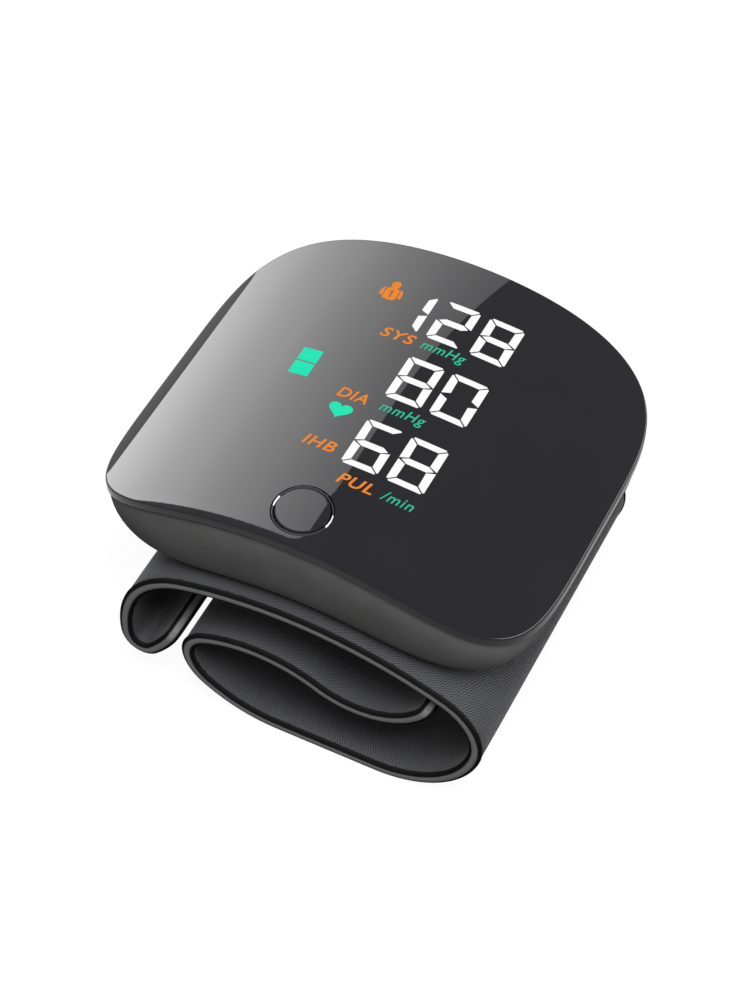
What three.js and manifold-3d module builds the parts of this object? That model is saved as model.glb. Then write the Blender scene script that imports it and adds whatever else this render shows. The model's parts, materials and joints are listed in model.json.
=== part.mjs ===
// Wrist blood pressure monitor: an arched plastic case carried by a rolled fabric cuff.
// Millimetres, +Z up. The origin is on the table under the middle of the case. +X runs across the
// wrist, +Y runs along the wrist and away from the button.

import * as THREE from "three";
import { mergeVertices } from "three/addons/utils/BufferGeometryUtils.js";
import Module from "manifold-3d";

const wasm = await Module();
wasm.setup();

// Clearances
const FIT = 0.3; // between neighbouring pieces
const LAYER_GAP = 0.2; // between the layers inside the cuff
const CUT = 2; // how far a cutting tool reaches past the face that it opens

// Case
const PANEL_WIDTH = 80;
const PANEL_LENGTH = 68.7;
const OUTLINE_POWER = 4.9; // exponent of the superellipse behind every outline of the case
const ARCH_RADIUS = 66; // the front bends round the wrist
const PANEL_THICKNESS = 2;
const PANEL_BEVEL = 0.5;
const CASE_DEPTH = 19; // from the crest of the panel to the crest of the underside
const BASE_RADIUS = 72; // the underside bends round the wrist
const SHELL_INSET = 0.1; // the shell's rim stands back from the panel's edge
const SHELL_TAPER_X = 11; // how far the shell's walls draw in on their way down
const SHELL_TAPER_Y = 4;
const SHELL_BULGE = 0.85; // from 0, straight walls, to 1, walls that round in like a bowl
const SHELL_WALL = 1.8;
const BASE_WALL = 2.8;

// Panel frame
const FRAME_THICKNESS = 1.6;
const WINDOW_MARGIN = 0.8; // round the digit blocks, the pump and the cell
const WINDOW_CORNER = 1.5;
const RIB_WIDTH = 1.2; // the ribs that press on the display board
const RIB_LENGTH = 12;
const POST_RADIUS = 2.2;
const POST_X = 17.3;
const POST_EDGE = 6.95; // posts in from the panel's front and back edges

// Case screws
const SCREW_RADIUS = 1;
const SCREW_HEAD_RADIUS = 1.9;
const SCREW_HEAD_HEIGHT = 1.1;
const SCREW_LENGTH = 8;

// Button
const BUTTON_EDGE = 7.25; // button's axis in from the panel's front edge
const RING_RADIUS = 5.1;
const RING_WIDTH = 0.75;
const CAP_THICKNESS = 1.1;
const STEM_RADIUS = 2.2;
const BUTTON_TRAVEL = 0.7;
const SWITCH_SIZE = 4.5;
const SWITCH_HEIGHT = 3.2;
const PLUNGER_RADIUS = 1.1;
const PLUNGER_PROUD = 1.2; // the plunger above the switch

// Boards
const BOARD_THICKNESS = 1.2;
const BOARD_LIFT = 1.3; // main board above the crest of the floor
const BOSS_RADIUS = 1.5; // bosses under the main board
const BOSS_SIDE = 3; // bosses in from the main board's sides
const BOSS_END = 5; // bosses in from its back end
const BOARD_STACK = 4.6; // from the main board's top to the display board
const MAIN_WIDTH = 33;
const MAIN_BACK_EDGE = 6.85; // board in from the panel's back edge
const MAIN_FRONT_MARGIN = 0.4; // board in front of the switch
const DISPLAY_BORDER = 1; // board past the ends of the window
const BOARD_CORNER = 1.5;

// LED digit blocks
const LED_X = 3.9;
const LED_WIDTH = 25.4;
const LED_LENGTH = 10.6;
const LED_BACK_EDGE = 9.85; // upper block in from the panel's back edge
const LED_BUTTON_GAP = 11; // from the button's axis to the lower block

// Parts on the main board
const HEADER_WIDTH = 2.5;
const HEADER_LENGTH = 20;
const HEADER_SIDE = 3.5; // in from the board's left side
const HEADER_Y = 8;
const CHIP_SIZE = 7;
const CHIP_HEIGHT = 1.2;
const CHIP_X = -3;
const CHIP_Y = -9;
const BUZZER_RADIUS = 4.5;
const BUZZER_HEIGHT = 2.8;
const BUZZER_SIDE = 7.5; // in from the board's right side
const BUZZER_Y = -12;
const SENSOR_SIZE = 6;
const SENSOR_HEIGHT = 3.2;
const SENSOR_SIDE = 7.5; // in from the board's right side
const SENSOR_Y = 2;
const SOCKET_WIDTH = 9;
const SOCKET_HEIGHT = 3.2;
const SOCKET_LENGTH = 7.4;
const SOCKET_SHELL = 0.5;

// Bays beside the boards
const BAY_X = 25.8;
const BAY_LIFT = 1; // under the cell and the pump
const CRADLE_WIDTH = 1.6;
const CRADLE_REACH = 9;
const CELL_RADIUS = 5;
const CELL_END = 6.4; // cell's ends in from the axes of the screw posts
const CELL_NUB_RADIUS = 1.9;
const CELL_NUB = 0.8;
const TAB_WIDTH = 3;
const TAB_THICKNESS = 0.4;
const PUMP_RADIUS = 5.2;
const PUMP_START_Y = -19;
const MOTOR_LENGTH = 13;
const HEAD_LENGTH = 9;
const HEAD_SIZE = 8.4;
const MANIFOLD_WIDTH = 7;
const MANIFOLD_LENGTH = 7.4;
const MANIFOLD_HEIGHT = 7.5;
const MANIFOLD_ROOF = 1.6; // above the tubes' axes
const VALVE_SIZE = 7.6;
const VALVE_LENGTH = 9;
const NIPPLE_RADIUS = 0.8;
const NIPPLE_LENGTH = 2.2;

// Air tubes
const TUBE_RADIUS = 1.25;
const TUBE_BORE = 0.6;
const TUBE_PITCH = 3.6; // between the two tubes at the manifold
const NOZZLE_RADIUS = 1.6;
const NOZZLE_BARB = 4.6; // from the nozzle's axis to the end of its barb
const NOZZLE_FLANGE = 3.4;

// Cuff bracket
const BRACKET_WIDTH = 38;
const BRACKET_LENGTH = 42;
const BRACKET_THICKNESS = 1.1;
const BRACKET_CORNER = 4;
const STAKE_RADIUS = 1.1;
const STAKE_X = 12;
const STAKE_Y = 17;
const STAKE_PROUD = 0.5;

// Cuff strip
const CUFF_WIDTH = 61;
const CUFF_Y = -3.7; // the cuff sits a little towards the button
const CUFF_THICKNESS = 2.4;
const BINDING_WIDTH = 3.2;
const SKIN = 0.5;
const CURLER_THICKNESS = 0.4;
const BLADDER_THICKNESS = 0.4;
const POCKET_MARGIN = 3; // fabric between the pocket and the sleeve's edge
const POCKET_STOP = 6; // fabric between the pocket and the strip's end
const LAYER_INSET = 1; // the layers stand back from the pocket's walls
const SPLIT = 0.5; // gap between the sections of the strip
const PATCH_LENGTH = 14;
const PATCH_WIDTH = 40;
const PATCH_THICKNESS = 0.8;

// Route of the loop from the middle of the underside: radii, turns in degrees and straight runs
const LOOP_BASE_TURN = 23.5;
const CURL_RADIUS = 10.5;
const CURL_TURN = 81;
const LOOP_HINGE_TURN = 62; // of the curl, up to the place where the loop opens
const BELLY_RADIUS = 18.8;
const REST_LENGTH = 18.7; // the flat run that the monitor stands on
const HEEL_RADIUS = 22.6;
const HEEL_TURN = 37.4;
const FOLD_RADIUS = 8.2;
const FOLD_TURN = 49.8;
const TURNBACK_RADIUS = 6.2;
const TURNBACK_TURN = 67.2;
const FLAP_RADIUS = 23.5;
const FLAP_TURN = 53.9;
const FLAP_END_RADIUS = 15.1;
const FLAP_END_TURN = 94;

// Route of the tail from the middle of the underside
const TAIL_BASE_TURN = 16;
const TAIL_RADIUS = 16.5;
const TAIL_TURN = 50.8;
const TAIL_HINGE_TURN = 38; // of the tail's bend, up to the place where the tail lifts
const TAIL_SIDE_RADIUS = 22.9;
const TAIL_SIDE_TURN = 26;
const ROLL_LEAD_RADIUS = 5.5;
const ROLL_LEAD_TURN = 22.2;
const ROLL_RADIUS = 2.6;
const ROLL_TURN = 111.9;
const ROLL_RISE_RADIUS = 26.9;
const ROLL_RISE_TURN = 19.4;

// Fineness
const OUTLINE_STEPS = 64;
const WALL_STEPS = 5;
const ROUND = 20;
const FINE_ROUND = 12;
const BEND_STEP = THREE.MathUtils.degToRad(8);
const BEND_REACH = 4.5; // longest step along a gentle bend
const EDGE_STEPS = 4;

// Solids from geometry and back

function solid(geometry) {
  const loose = geometry.index ? geometry.toNonIndexed() : geometry.clone();
  const bare = new THREE.BufferGeometry();
  bare.setAttribute("position", loose.getAttribute("position"));
  const merged = mergeVertices(bare, 1e-4);
  const corners = merged.index.array;
  const kept = [];
  for (let i = 0; i < corners.length; i += 3) {
    const [a, b, c] = corners.slice(i, i + 3);
    if (a !== b && b !== c && c !== a) kept.push(a, b, c);
  }
  return new wasm.Manifold(
    new wasm.Mesh({
      numProp: 3,
      vertProperties: new Float32Array(merged.getAttribute("position").array),
      triVerts: new Uint32Array(kept),
    }),
  );
}

function geometryOf(body) {
  const mesh = body.getMesh();
  const geometry = new THREE.BufferGeometry();
  geometry.setAttribute("position", new THREE.BufferAttribute(mesh.vertProperties, mesh.numProp));
  geometry.setIndex(new THREE.BufferAttribute(mesh.triVerts, 1));
  geometry.computeVertexNormals();
  return geometry;
}

function join(...bodies) {
  return bodies.reduce((whole, next) => whole.add(next));
}

function cut(body, ...tools) {
  return tools.reduce((left, tool) => left.subtract(tool), body);
}

// Upright cylinder between two heights
function rod(radius, x, y, low, high, sides = ROUND) {
  const geometry = new THREE.CylinderGeometry(radius, radius, high - low, sides);
  geometry.rotateX(Math.PI / 2);
  geometry.translate(x, y, (low + high) / 2);
  return solid(geometry);
}

// Cylinder along X between two places
function rodX(radius, from, to, y, z, sides = FINE_ROUND) {
  const geometry = new THREE.CylinderGeometry(radius, radius, to - from, sides);
  geometry.rotateZ(-Math.PI / 2);
  geometry.translate((from + to) / 2, y, z);
  return solid(geometry);
}

// Cylinder along Y between two places
function rodY(radius, x, z, from, to, sides = ROUND) {
  const geometry = new THREE.CylinderGeometry(radius, radius, to - from, sides);
  geometry.translate(x, (from + to) / 2, z);
  return solid(geometry);
}

// Box between two corners
function box(x0, x1, y0, y1, z0, z1) {
  const geometry = new THREE.BoxGeometry(x1 - x0, y1 - y0, z1 - z0);
  geometry.translate((x0 + x1) / 2, (y0 + y1) / 2, (z0 + z1) / 2);
  return solid(geometry);
}

// Upright block with rounded corners in plan
function roundedBlock(width, length, corner, x, y, low, high) {
  const shape = new THREE.Shape();
  const w = width / 2 - corner;
  const l = length / 2 - corner;
  shape.absarc(w, l, corner, 0, Math.PI / 2);
  shape.absarc(-w, l, corner, Math.PI / 2, Math.PI);
  shape.absarc(-w, -l, corner, Math.PI, 1.5 * Math.PI);
  shape.absarc(w, -l, corner, 1.5 * Math.PI, 2 * Math.PI);
  const geometry = new THREE.ExtrudeGeometry(shape, {
    depth: high - low,
    bevelEnabled: false,
    curveSegments: 3,
  });
  geometry.translate(x, y, low);
  return solid(geometry);
}

// Turned body: the profile holds radius and height pairs from the axis back to the axis
function turned(profile, sides = ROUND) {
  const points = profile.map(([radius, height]) => new THREE.Vector2(radius, height));
  return solid(new THREE.LatheGeometry(points, sides));
}

// Closed skin through rings of equally many points. Each end is zipped shut from the ring's first
// point to its opposite one, so an end that is arched across that line follows its arch.
function skin(rings) {
  const count = rings[0].length;
  const positions = rings.flatMap((ring) => ring.flatMap((p) => [p.x, p.y, p.z]));
  const triangles = [];
  for (let r = 0; r + 1 < rings.length; r++) {
    for (let i = 0; i < count; i++) {
      const a = r * count + i;
      const b = r * count + ((i + 1) % count);
      triangles.push(a, b, b + count, a, b + count, a + count);
    }
  }
  const end = (rings.length - 1) * count;
  for (let i = 0, k = count - 1; i + 1 < k; i++, k--) {
    const a = i + 1;
    triangles.push(i, k, a, end + i, end + a, end + k);
    if (a < k - 1) triangles.push(a, k, k - 1, end + a, end + k - 1, end + k);
  }
  const geometry = new THREE.BufferGeometry();
  geometry.setAttribute("position", new THREE.Float32BufferAttribute(positions, 3));
  geometry.setIndex(triangles);
  return solid(geometry);
}

// Outlines of the case

// Superellipse that stands back from the panel's edge by the given insets
function outline(insetX, insetY = insetX) {
  const a = PANEL_WIDTH / 2 - insetX;
  const b = PANEL_LENGTH / 2 - insetY;
  const points = [];
  for (let i = 0; i < OUTLINE_STEPS; i++) {
    const angle = (2 * Math.PI * i) / OUTLINE_STEPS;
    const across = Math.abs(Math.cos(angle) / a) ** OUTLINE_POWER;
    const along = Math.abs(Math.sin(angle) / b) ** OUTLINE_POWER;
    const reach = (across + along) ** (-1 / OUTLINE_POWER);
    points.push(new THREE.Vector2(reach * Math.cos(angle), reach * Math.sin(angle)));
  }
  return points;
}

function ring(points, height) {
  return points.map((p, i) => new THREE.Vector3(p.x, p.y, height(p.x, i)));
}

function archDrop(x, radius) {
  return radius - Math.sqrt(radius * radius - x * x);
}

// Route of the cuff strip in the XZ plane

function bend(radius, degrees) {
  const turn = THREE.MathUtils.degToRad(degrees);
  return { length: radius * Math.abs(turn), turn };
}

function straight(length) {
  return { length, turn: 0 };
}

function advance(at, move, share) {
  const length = move.length * share;
  const turn = move.turn * share;
  if (turn === 0) {
    const x = at.x + length * Math.cos(at.heading);
    const z = at.z + length * Math.sin(at.heading);
    return { x, z, heading: at.heading };
  }
  const radius = length / turn;
  const heading = at.heading + turn;
  const x = at.x + radius * (Math.sin(heading) - Math.sin(at.heading));
  const z = at.z - radius * (Math.cos(heading) - Math.cos(at.heading));
  return { x, z, heading };
}

function routeLength(moves) {
  return moves.reduce((sum, move) => sum + move.length, 0);
}

// Place and heading at a distance along the route, straight on past either end
function placeAt(start, moves, distance) {
  if (distance < 0) return advance(start, straight(distance), 1);
  let at = start;
  let left = distance;
  for (const move of moves) {
    if (left <= move.length) return advance(at, move, left / move.length);
    at = advance(at, move, 1);
    left -= move.length;
  }
  return advance(at, straight(left), 1);
}

// Places along a stretch of the route, close enough together to show its bends
function trail(start, moves, from, to) {
  const distances = [from];
  let passed = 0;
  for (const move of moves) {
    const byTurn = Math.ceil(Math.abs(move.turn) / BEND_STEP);
    const byReach = Math.ceil(move.length / BEND_REACH);
    const steps = move.turn === 0 ? 1 : Math.max(byTurn, byReach);
    for (let i = 0; i <= steps; i++) {
      const distance = passed + (move.length * i) / steps;
      const last = distances[distances.length - 1];
      if (distance > last + 0.05 && distance < to - 0.05) distances.push(distance);
    }
    passed += move.length;
  }
  distances.push(to);
  return distances.map((distance) => placeAt(start, moves, distance));
}

function backwards(places) {
  return places.map((p) => ({ x: p.x, z: p.z, heading: p.heading + Math.PI })).reverse();
}

// Sweeps a section along a trail. The section holds pairs of rise off the strip's middle and of
// distance from its centre line.
function sweep(places, section) {
  const ringAt = ({ x, z, heading }) =>
    section.map(
      ([rise, y]) =>
        new THREE.Vector3(x - rise * Math.sin(heading), CUFF_Y + y, z + rise * Math.cos(heading)),
    );
  return skin(places.map(ringAt));
}

// Flat band of the strip between two rises and two edges
function band(places, low, high, from, to) {
  return sweep(places, [
    [low, from],
    [low, to],
    [high, to],
    [high, from],
  ]);
}

// Loop and tail, first laid out from the middle of the underside at height zero
const cuffBaseRadius = BASE_RADIUS - FIT - CUFF_THICKNESS / 2;
const bellyTurn = 180 - LOOP_BASE_TURN - CURL_TURN;
const loopMoves = [
  bend(cuffBaseRadius, -LOOP_BASE_TURN),
  bend(CURL_RADIUS, -CURL_TURN),
  bend(BELLY_RADIUS, -bellyTurn),
  straight(REST_LENGTH),
  bend(HEEL_RADIUS, -HEEL_TURN),
  bend(FOLD_RADIUS, -FOLD_TURN),
  bend(TURNBACK_RADIUS, -TURNBACK_TURN),
  bend(FLAP_RADIUS, -FLAP_TURN),
  bend(FLAP_END_RADIUS, FLAP_END_TURN),
];
const tailMoves = [
  bend(cuffBaseRadius, TAIL_BASE_TURN),
  bend(TAIL_RADIUS, TAIL_TURN),
  bend(TAIL_SIDE_RADIUS, TAIL_SIDE_TURN),
  bend(ROLL_LEAD_RADIUS, ROLL_LEAD_TURN),
  bend(ROLL_RADIUS, ROLL_TURN),
  bend(ROLL_RISE_RADIUS, ROLL_RISE_TURN),
];

// Heights: the flat run of the loop lies on the table
const restDrop = placeAt({ x: 0, z: 0, heading: 0 }, loopMoves, routeLength(loopMoves.slice(0, 3))).z;
const seatZ = CUFF_THICKNESS / 2 - restDrop;
const baseCrestZ = seatZ + CUFF_THICKNESS / 2 + FIT;
const crestZ = baseCrestZ + CASE_DEPTH;
const panelTop = (x) => crestZ - archDrop(x, ARCH_RADIUS);
const panelUnder = (x) => panelTop(x) - PANEL_THICKNESS;
const rimTop = (x) => panelUnder(x) - FIT;
const frameUnder = (x) => rimTop(x) - FRAME_THICKNESS;
const baseUnder = (x) => baseCrestZ - archDrop(x, BASE_RADIUS);
const floorTop = (x) => baseUnder(x) + BASE_WALL;
const mainLow = floorTop(0) + BOARD_LIFT;
const mainTop = mainLow + BOARD_THICKNESS;
const displayLow = mainTop + BOARD_STACK;
const displayTop = displayLow + BOARD_THICKNESS;
const tubeZ = mainTop + BOARD_STACK / 2;

// Places along the wrist and on the main board
const buttonY = BUTTON_EDGE - PANEL_LENGTH / 2;
const postY = PANEL_LENGTH / 2 - POST_EDGE;
const mainBackY = PANEL_LENGTH / 2 - MAIN_BACK_EDGE;
const bossX = MAIN_WIDTH / 2 - BOSS_SIDE;
const bossY = mainBackY - BOSS_END;
const headerX = HEADER_SIDE - MAIN_WIDTH / 2;
const buzzerX = MAIN_WIDTH / 2 - BUZZER_SIDE;
const sensorX = MAIN_WIDTH / 2 - SENSOR_SIDE;

// Readings, spread from the button to the back edge
const ledBackY = PANEL_LENGTH / 2 - LED_BACK_EDGE;
const ledFrontY = buttonY + LED_BUTTON_GAP;
const ledMiddleY = (ledBackY + ledFrontY) / 2;
const ledPitch = (ledBackY - ledFrontY - LED_LENGTH) / 2;

// Display window round the digit blocks
const ledReach = LED_X + LED_WIDTH / 2;
const windowHalf = ledReach + WINDOW_MARGIN;
const windowLength = ledBackY - ledFrontY + 2 * WINDOW_MARGIN;

// Everything below an arch that runs along the wrist
function underArch(radius, crest) {
  return rodY(radius, 0, crest - radius, -PANEL_LENGTH, PANEL_LENGTH, 4 * ROUND);
}

const underside = (rise) => underArch(BASE_RADIUS + rise, baseCrestZ + rise);
const underPanelFace = underArch(ARCH_RADIUS, crestZ);

const screwPlaces = [
  [POST_X, postY],
  [-POST_X, postY],
  [-POST_X, -postY],
  [POST_X, -postY],
];
const postTools = screwPlaces.map(([x, y]) =>
  rod(POST_RADIUS + FIT, x, y, baseCrestZ - CASE_DEPTH, crestZ),
);

// Top panel with its bevelled edge and the hole for the button's ring
const panelEdge = outline(0);
const panelFace = outline(PANEL_BEVEL);
const panelBlank = skin([
  ring(panelEdge, panelUnder),
  ring(panelEdge, (x) => panelTop(x) - PANEL_BEVEL),
  ring(panelFace, panelTop),
]);
const topPanel = cut(
  panelBlank,
  rod(RING_RADIUS + FIT, 0, buttonY, baseCrestZ, crestZ + CUT),
);

// Lower shell: walls that draw in from the rim to the underside
function wallDrawIn(fall) {
  return SHELL_BULGE * (1 - Math.sqrt(1 - fall * fall)) + (1 - SHELL_BULGE) * fall;
}

function bowl(inset, baseHeight, above) {
  const rim = outline(inset);
  const walls = [];
  for (let i = WALL_STEPS; i >= 0; i--) {
    const angle = (Math.PI / 2) * (i / WALL_STEPS);
    const fall = Math.sin(angle);
    const drawIn = wallDrawIn(fall);
    const points = outline(inset + SHELL_TAPER_X * drawIn, inset + SHELL_TAPER_Y * drawIn);
    const level = (x, k) => (1 - fall) * rimTop(rim[k].x) + fall * baseHeight(x);
    walls.push(ring(points, level));
  }
  if (above > 0) walls.push(ring(rim, (x) => rimTop(x) + above));
  return skin(walls);
}

const cavityInset = SHELL_INSET + SHELL_WALL;
const shellBlank = bowl(SHELL_INSET, baseUnder, 0);
const cavity = bowl(cavityInset, floorTop, CUT);
const cavityReach = bowl(cavityInset + FIT, (x) => floorTop(x) + FIT, 0);

// Bays: the cell on the left, the pump and the valve on the right
const cellZ = floorTop(BAY_X) + BAY_LIFT + CELL_RADIUS;
const pumpZ = floorTop(BAY_X) + BAY_LIFT + PUMP_RADIUS;
const headStart = PUMP_START_Y + MOTOR_LENGTH + FIT;
const headEnd = headStart + HEAD_LENGTH;
const manifoldStart = headEnd + NIPPLE_LENGTH + FIT;
const manifoldEnd = manifoldStart + MANIFOLD_LENGTH;
const manifoldY = (manifoldStart + manifoldEnd) / 2;
const valveStart = manifoldEnd + FIT + NIPPLE_LENGTH;
const valveEnd = valveStart + VALVE_LENGTH;
const nozzleY = manifoldY + TUBE_PITCH / 2;
const sensorTubeY = manifoldY - TUBE_PITCH / 2;

function cradle(x, y, z, radius) {
  const low = floorTop(BAY_X + CRADLE_REACH / 2) - BASE_WALL;
  const half = CRADLE_REACH / 2;
  const plate = box(x - half, x + half, y - CRADLE_WIDTH / 2, y + CRADLE_WIDTH / 2, low, z - radius / 2);
  return cut(plate, rodY(radius + FIT, x, z, y - CRADLE_WIDTH, y + CRADLE_WIDTH));
}

const cellBack = postY - CELL_END;
const cellFront = -cellBack;
const cradles = [
  cradle(-BAY_X, cellFront + CELL_RADIUS, cellZ, CELL_RADIUS),
  cradle(-BAY_X, cellBack - CELL_RADIUS, cellZ, CELL_RADIUS),
  cradle(BAY_X, PUMP_START_Y + MOTOR_LENGTH / 2, pumpZ, PUMP_RADIUS),
];

// Seats under the air manifold, the valve and the pump head
const headLow = pumpZ - HEAD_SIZE / 2;
const manifoldTop = tubeZ + MANIFOLD_ROOF;
const manifoldLow = manifoldTop - MANIFOLD_HEIGHT;
const valveLow = pumpZ - VALVE_SIZE / 2;
function seat(y0, y1, top) {
  const low = floorTop(BAY_X + CRADLE_REACH / 2) - BASE_WALL;
  return box(BAY_X - CRADLE_WIDTH, BAY_X + CRADLE_WIDTH, y0, y1, low, top - FIT);
}
const seats = [
  seat(headStart + FIT, headEnd - FIT, headLow),
  seat(manifoldStart + FIT, manifoldEnd - FIT, manifoldLow),
  seat(valveStart + FIT, valveEnd - FIT, valveLow),
];

// Charging socket in the back wall
const socketLow = mainTop + FIT;
const socketTop = socketLow + SOCKET_HEIGHT;
const socketDepth = (rimTop(0) - socketTop) / (rimTop(0) - baseUnder(0));
const socketDrawIn = SHELL_TAPER_Y * wallDrawIn(socketDepth);
const socketBack = PANEL_LENGTH / 2 - SHELL_INSET - socketDrawIn - FIT;
const socketFront = socketBack - SOCKET_LENGTH;

function flatRound(width, height, x, z, from, to) {
  const shape = new THREE.Shape();
  const radius = height / 2;
  const reach = width / 2 - radius;
  shape.absarc(reach, 0, radius, -Math.PI / 2, Math.PI / 2);
  shape.absarc(-reach, 0, radius, Math.PI / 2, 1.5 * Math.PI);
  const geometry = new THREE.ExtrudeGeometry(shape, {
    depth: to - from,
    bevelEnabled: false,
    curveSegments: 6,
  });
  geometry.rotateX(Math.PI / 2);
  geometry.translate(x, to, z);
  return solid(geometry);
}

const socketZ = (socketLow + socketTop) / 2;
const socketHole = flatRound(
  SOCKET_WIDTH + 2 * FIT,
  SOCKET_HEIGHT + 2 * FIT,
  0,
  socketZ,
  socketFront,
  PANEL_LENGTH / 2 + CUT,
);

// Stakes and screws through the underside
const stakePlaces = [
  [STAKE_X, STAKE_Y],
  [-STAKE_X, STAKE_Y],
  [-STAKE_X, -STAKE_Y],
  [STAKE_X, -STAKE_Y],
];
const underZ = baseCrestZ - CASE_DEPTH;
const headCeiling = (x) => baseUnder(x) + SCREW_HEAD_HEIGHT + FIT;
const screwHoles = screwPlaces.map(([x, y]) =>
  join(
    rod(SCREW_RADIUS + FIT, x, y, underZ, floorTop(0) + CUT, FINE_ROUND),
    rod(SCREW_HEAD_RADIUS + FIT, x, y, underZ, headCeiling(x) + FIT, FINE_ROUND),
  ),
);
const stakeHoles = stakePlaces.map(([x, y]) =>
  rod(STAKE_RADIUS + FIT, x, y, underZ, floorTop(0) + CUT, FINE_ROUND),
);
const nozzleHole = rod(NOZZLE_RADIUS + FIT, 0, nozzleY, underZ, displayLow, FINE_ROUND);
const bracketRecess = roundedBlock(
  BRACKET_WIDTH + 2 * FIT,
  BRACKET_LENGTH + 2 * FIT,
  BRACKET_CORNER + FIT,
  0,
  0,
  underZ,
  baseCrestZ + BASE_WALL,
).intersect(underside(BRACKET_THICKNESS + FIT));

const bosses = [-bossX, bossX].flatMap((x) =>
  [-bossY, bossY].map((y) => rod(BOSS_RADIUS, x, y, baseUnder(x), mainLow - FIT, FINE_ROUND)),
);
const shellBody = join(
  shellBlank.subtract(cavity),
  ...[...cradles, ...seats, ...bosses].map((rib) => rib.intersect(shellBlank)),
);
const lowerShell = cut(
  shellBody,
  bracketRecess,
  socketHole,
  nozzleHole,
  ...screwHoles,
  ...stakeHoles,
);

// Panel frame: an arched plate with three windows, ribs over the display board and four posts
const frameInset = cavityInset + FIT;
const frameHalf = PANEL_WIDTH / 2 - frameInset;
const sideDepth = rimTop(frameHalf) - floorTop(frameHalf - SHELL_TAPER_X);
const frameDrawIn = SHELL_TAPER_X * wallDrawIn(FRAME_THICKNESS / sideDepth);
const framePlate = skin([
  ring(outline(frameInset + frameDrawIn), frameUnder),
  ring(outline(frameInset), rimTop),
]);
const displayWindow = roundedBlock(
  2 * windowHalf,
  windowLength,
  WINDOW_CORNER,
  0,
  ledMiddleY,
  baseCrestZ,
  crestZ + CUT,
);
function bayWindow(x, radius, from, to) {
  const width = 2 * (radius + WINDOW_MARGIN);
  const length = to - from + 2 * WINDOW_MARGIN;
  return roundedBlock(width, length, WINDOW_CORNER, x, (from + to) / 2, underZ, crestZ + CUT);
}
const bayWindows = [
  bayWindow(-BAY_X, CELL_RADIUS, cellFront, cellBack),
  bayWindow(BAY_X, PUMP_RADIUS, PUMP_START_Y, valveEnd),
];
const posts = screwPlaces.map(([x, y]) => rod(POST_RADIUS, x, y, baseUnder(x), rimTop(0)));
const ribX = windowHalf + RIB_WIDTH / 2;
const ribs = [-ribX, ribX].map((x) =>
  box(
    x - RIB_WIDTH / 2,
    x + RIB_WIDTH / 2,
    ledMiddleY - RIB_LENGTH / 2,
    ledMiddleY + RIB_LENGTH / 2,
    displayTop + FIT,
    rimTop(0),
  ),
);
const hangers = [...posts, ...ribs].map((hanger) => hanger.intersect(cavityReach));
const panelFrame = cut(
  join(cut(framePlate, displayWindow, ...bayWindows), ...hangers),
  rod(STEM_RADIUS + FIT, 0, buttonY, baseCrestZ, crestZ + CUT),
  ...screwPlaces.map(([x, y]) =>
    rod(
      SCREW_RADIUS + FIT,
      x,
      y,
      underZ,
      headCeiling(x) + SCREW_LENGTH + 2 * FIT,
      FINE_ROUND,
    ),
  ),
);

// Case screws, head down in the underside
function screw([x, y]) {
  const seatZ = headCeiling(x);
  return join(
    rod(SCREW_HEAD_RADIUS, x, y, seatZ - SCREW_HEAD_HEIGHT, seatZ, FINE_ROUND),
    rod(SCREW_RADIUS, x, y, seatZ - SCREW_HEAD_HEIGHT / 2, seatZ + SCREW_LENGTH, FINE_ROUND),
  );
}

// Button: ring in the panel, cap inside the ring, stem down to the switch
const ringLow = rimTop(0) + FIT;
const buttonRing = cut(
  rod(RING_RADIUS, 0, buttonY, ringLow, crestZ + CUT),
  rod(RING_RADIUS - RING_WIDTH, 0, buttonY, underZ, crestZ + 2 * CUT),
).intersect(underPanelFace);
const switchLow = mainTop + FIT;
const switchTop = switchLow + SWITCH_HEIGHT;
const plungerTop = switchTop + PLUNGER_PROUD;
const buttonCap = join(
  rod(RING_RADIUS - RING_WIDTH - FIT, 0, buttonY, panelTop(0) - CAP_THICKNESS, crestZ + CUT),
  rod(STEM_RADIUS, 0, buttonY, plungerTop + FIT, panelTop(0) - CAP_THICKNESS / 2),
).intersect(underPanelFace);
const plungerLow = switchTop - PLUNGER_PROUD;
const switchPlunger = rod(PLUNGER_RADIUS, 0, buttonY, plungerLow, plungerTop, FINE_ROUND);
const tactSwitch = cut(
  roundedBlock(SWITCH_SIZE, SWITCH_SIZE, FIT, 0, buttonY, switchLow, switchTop),
  rod(
    PLUNGER_RADIUS + FIT,
    0,
    buttonY,
    plungerLow - BUTTON_TRAVEL - FIT,
    switchTop + CUT,
    FINE_ROUND,
  ),
);

// Boards
const mainFrontY = buttonY - SWITCH_SIZE / 2 - MAIN_FRONT_MARGIN;
const mainBoard = cut(
  roundedBlock(
    MAIN_WIDTH,
    mainBackY - mainFrontY,
    BOARD_CORNER,
    0,
    (mainBackY + mainFrontY) / 2,
    mainLow,
    mainTop,
  ),
  nozzleHole,
  ...postTools,
).intersect(cavityReach);
const displayBoard = cut(
  roundedBlock(
    2 * (windowHalf + RIB_WIDTH + FIT),
    windowLength + 2 * DISPLAY_BORDER,
    BOARD_CORNER,
    0,
    ledMiddleY,
    displayLow,
    displayTop,
  ),
  ...postTools,
);
const ledTop = panelUnder(ledReach) - FIT;
const ledBlock = (y) =>
  roundedBlock(LED_WIDTH, LED_LENGTH, FIT, LED_X, y, displayTop + FIT, ledTop);
const boardHeader = box(
  headerX - HEADER_WIDTH / 2,
  headerX + HEADER_WIDTH / 2,
  HEADER_Y - HEADER_LENGTH / 2,
  HEADER_Y + HEADER_LENGTH / 2,
  mainTop + FIT,
  displayLow - FIT,
);
const partLow = mainTop + FIT;
const chip = roundedBlock(CHIP_SIZE, CHIP_SIZE, FIT, CHIP_X, CHIP_Y, partLow, partLow + CHIP_HEIGHT);
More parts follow.
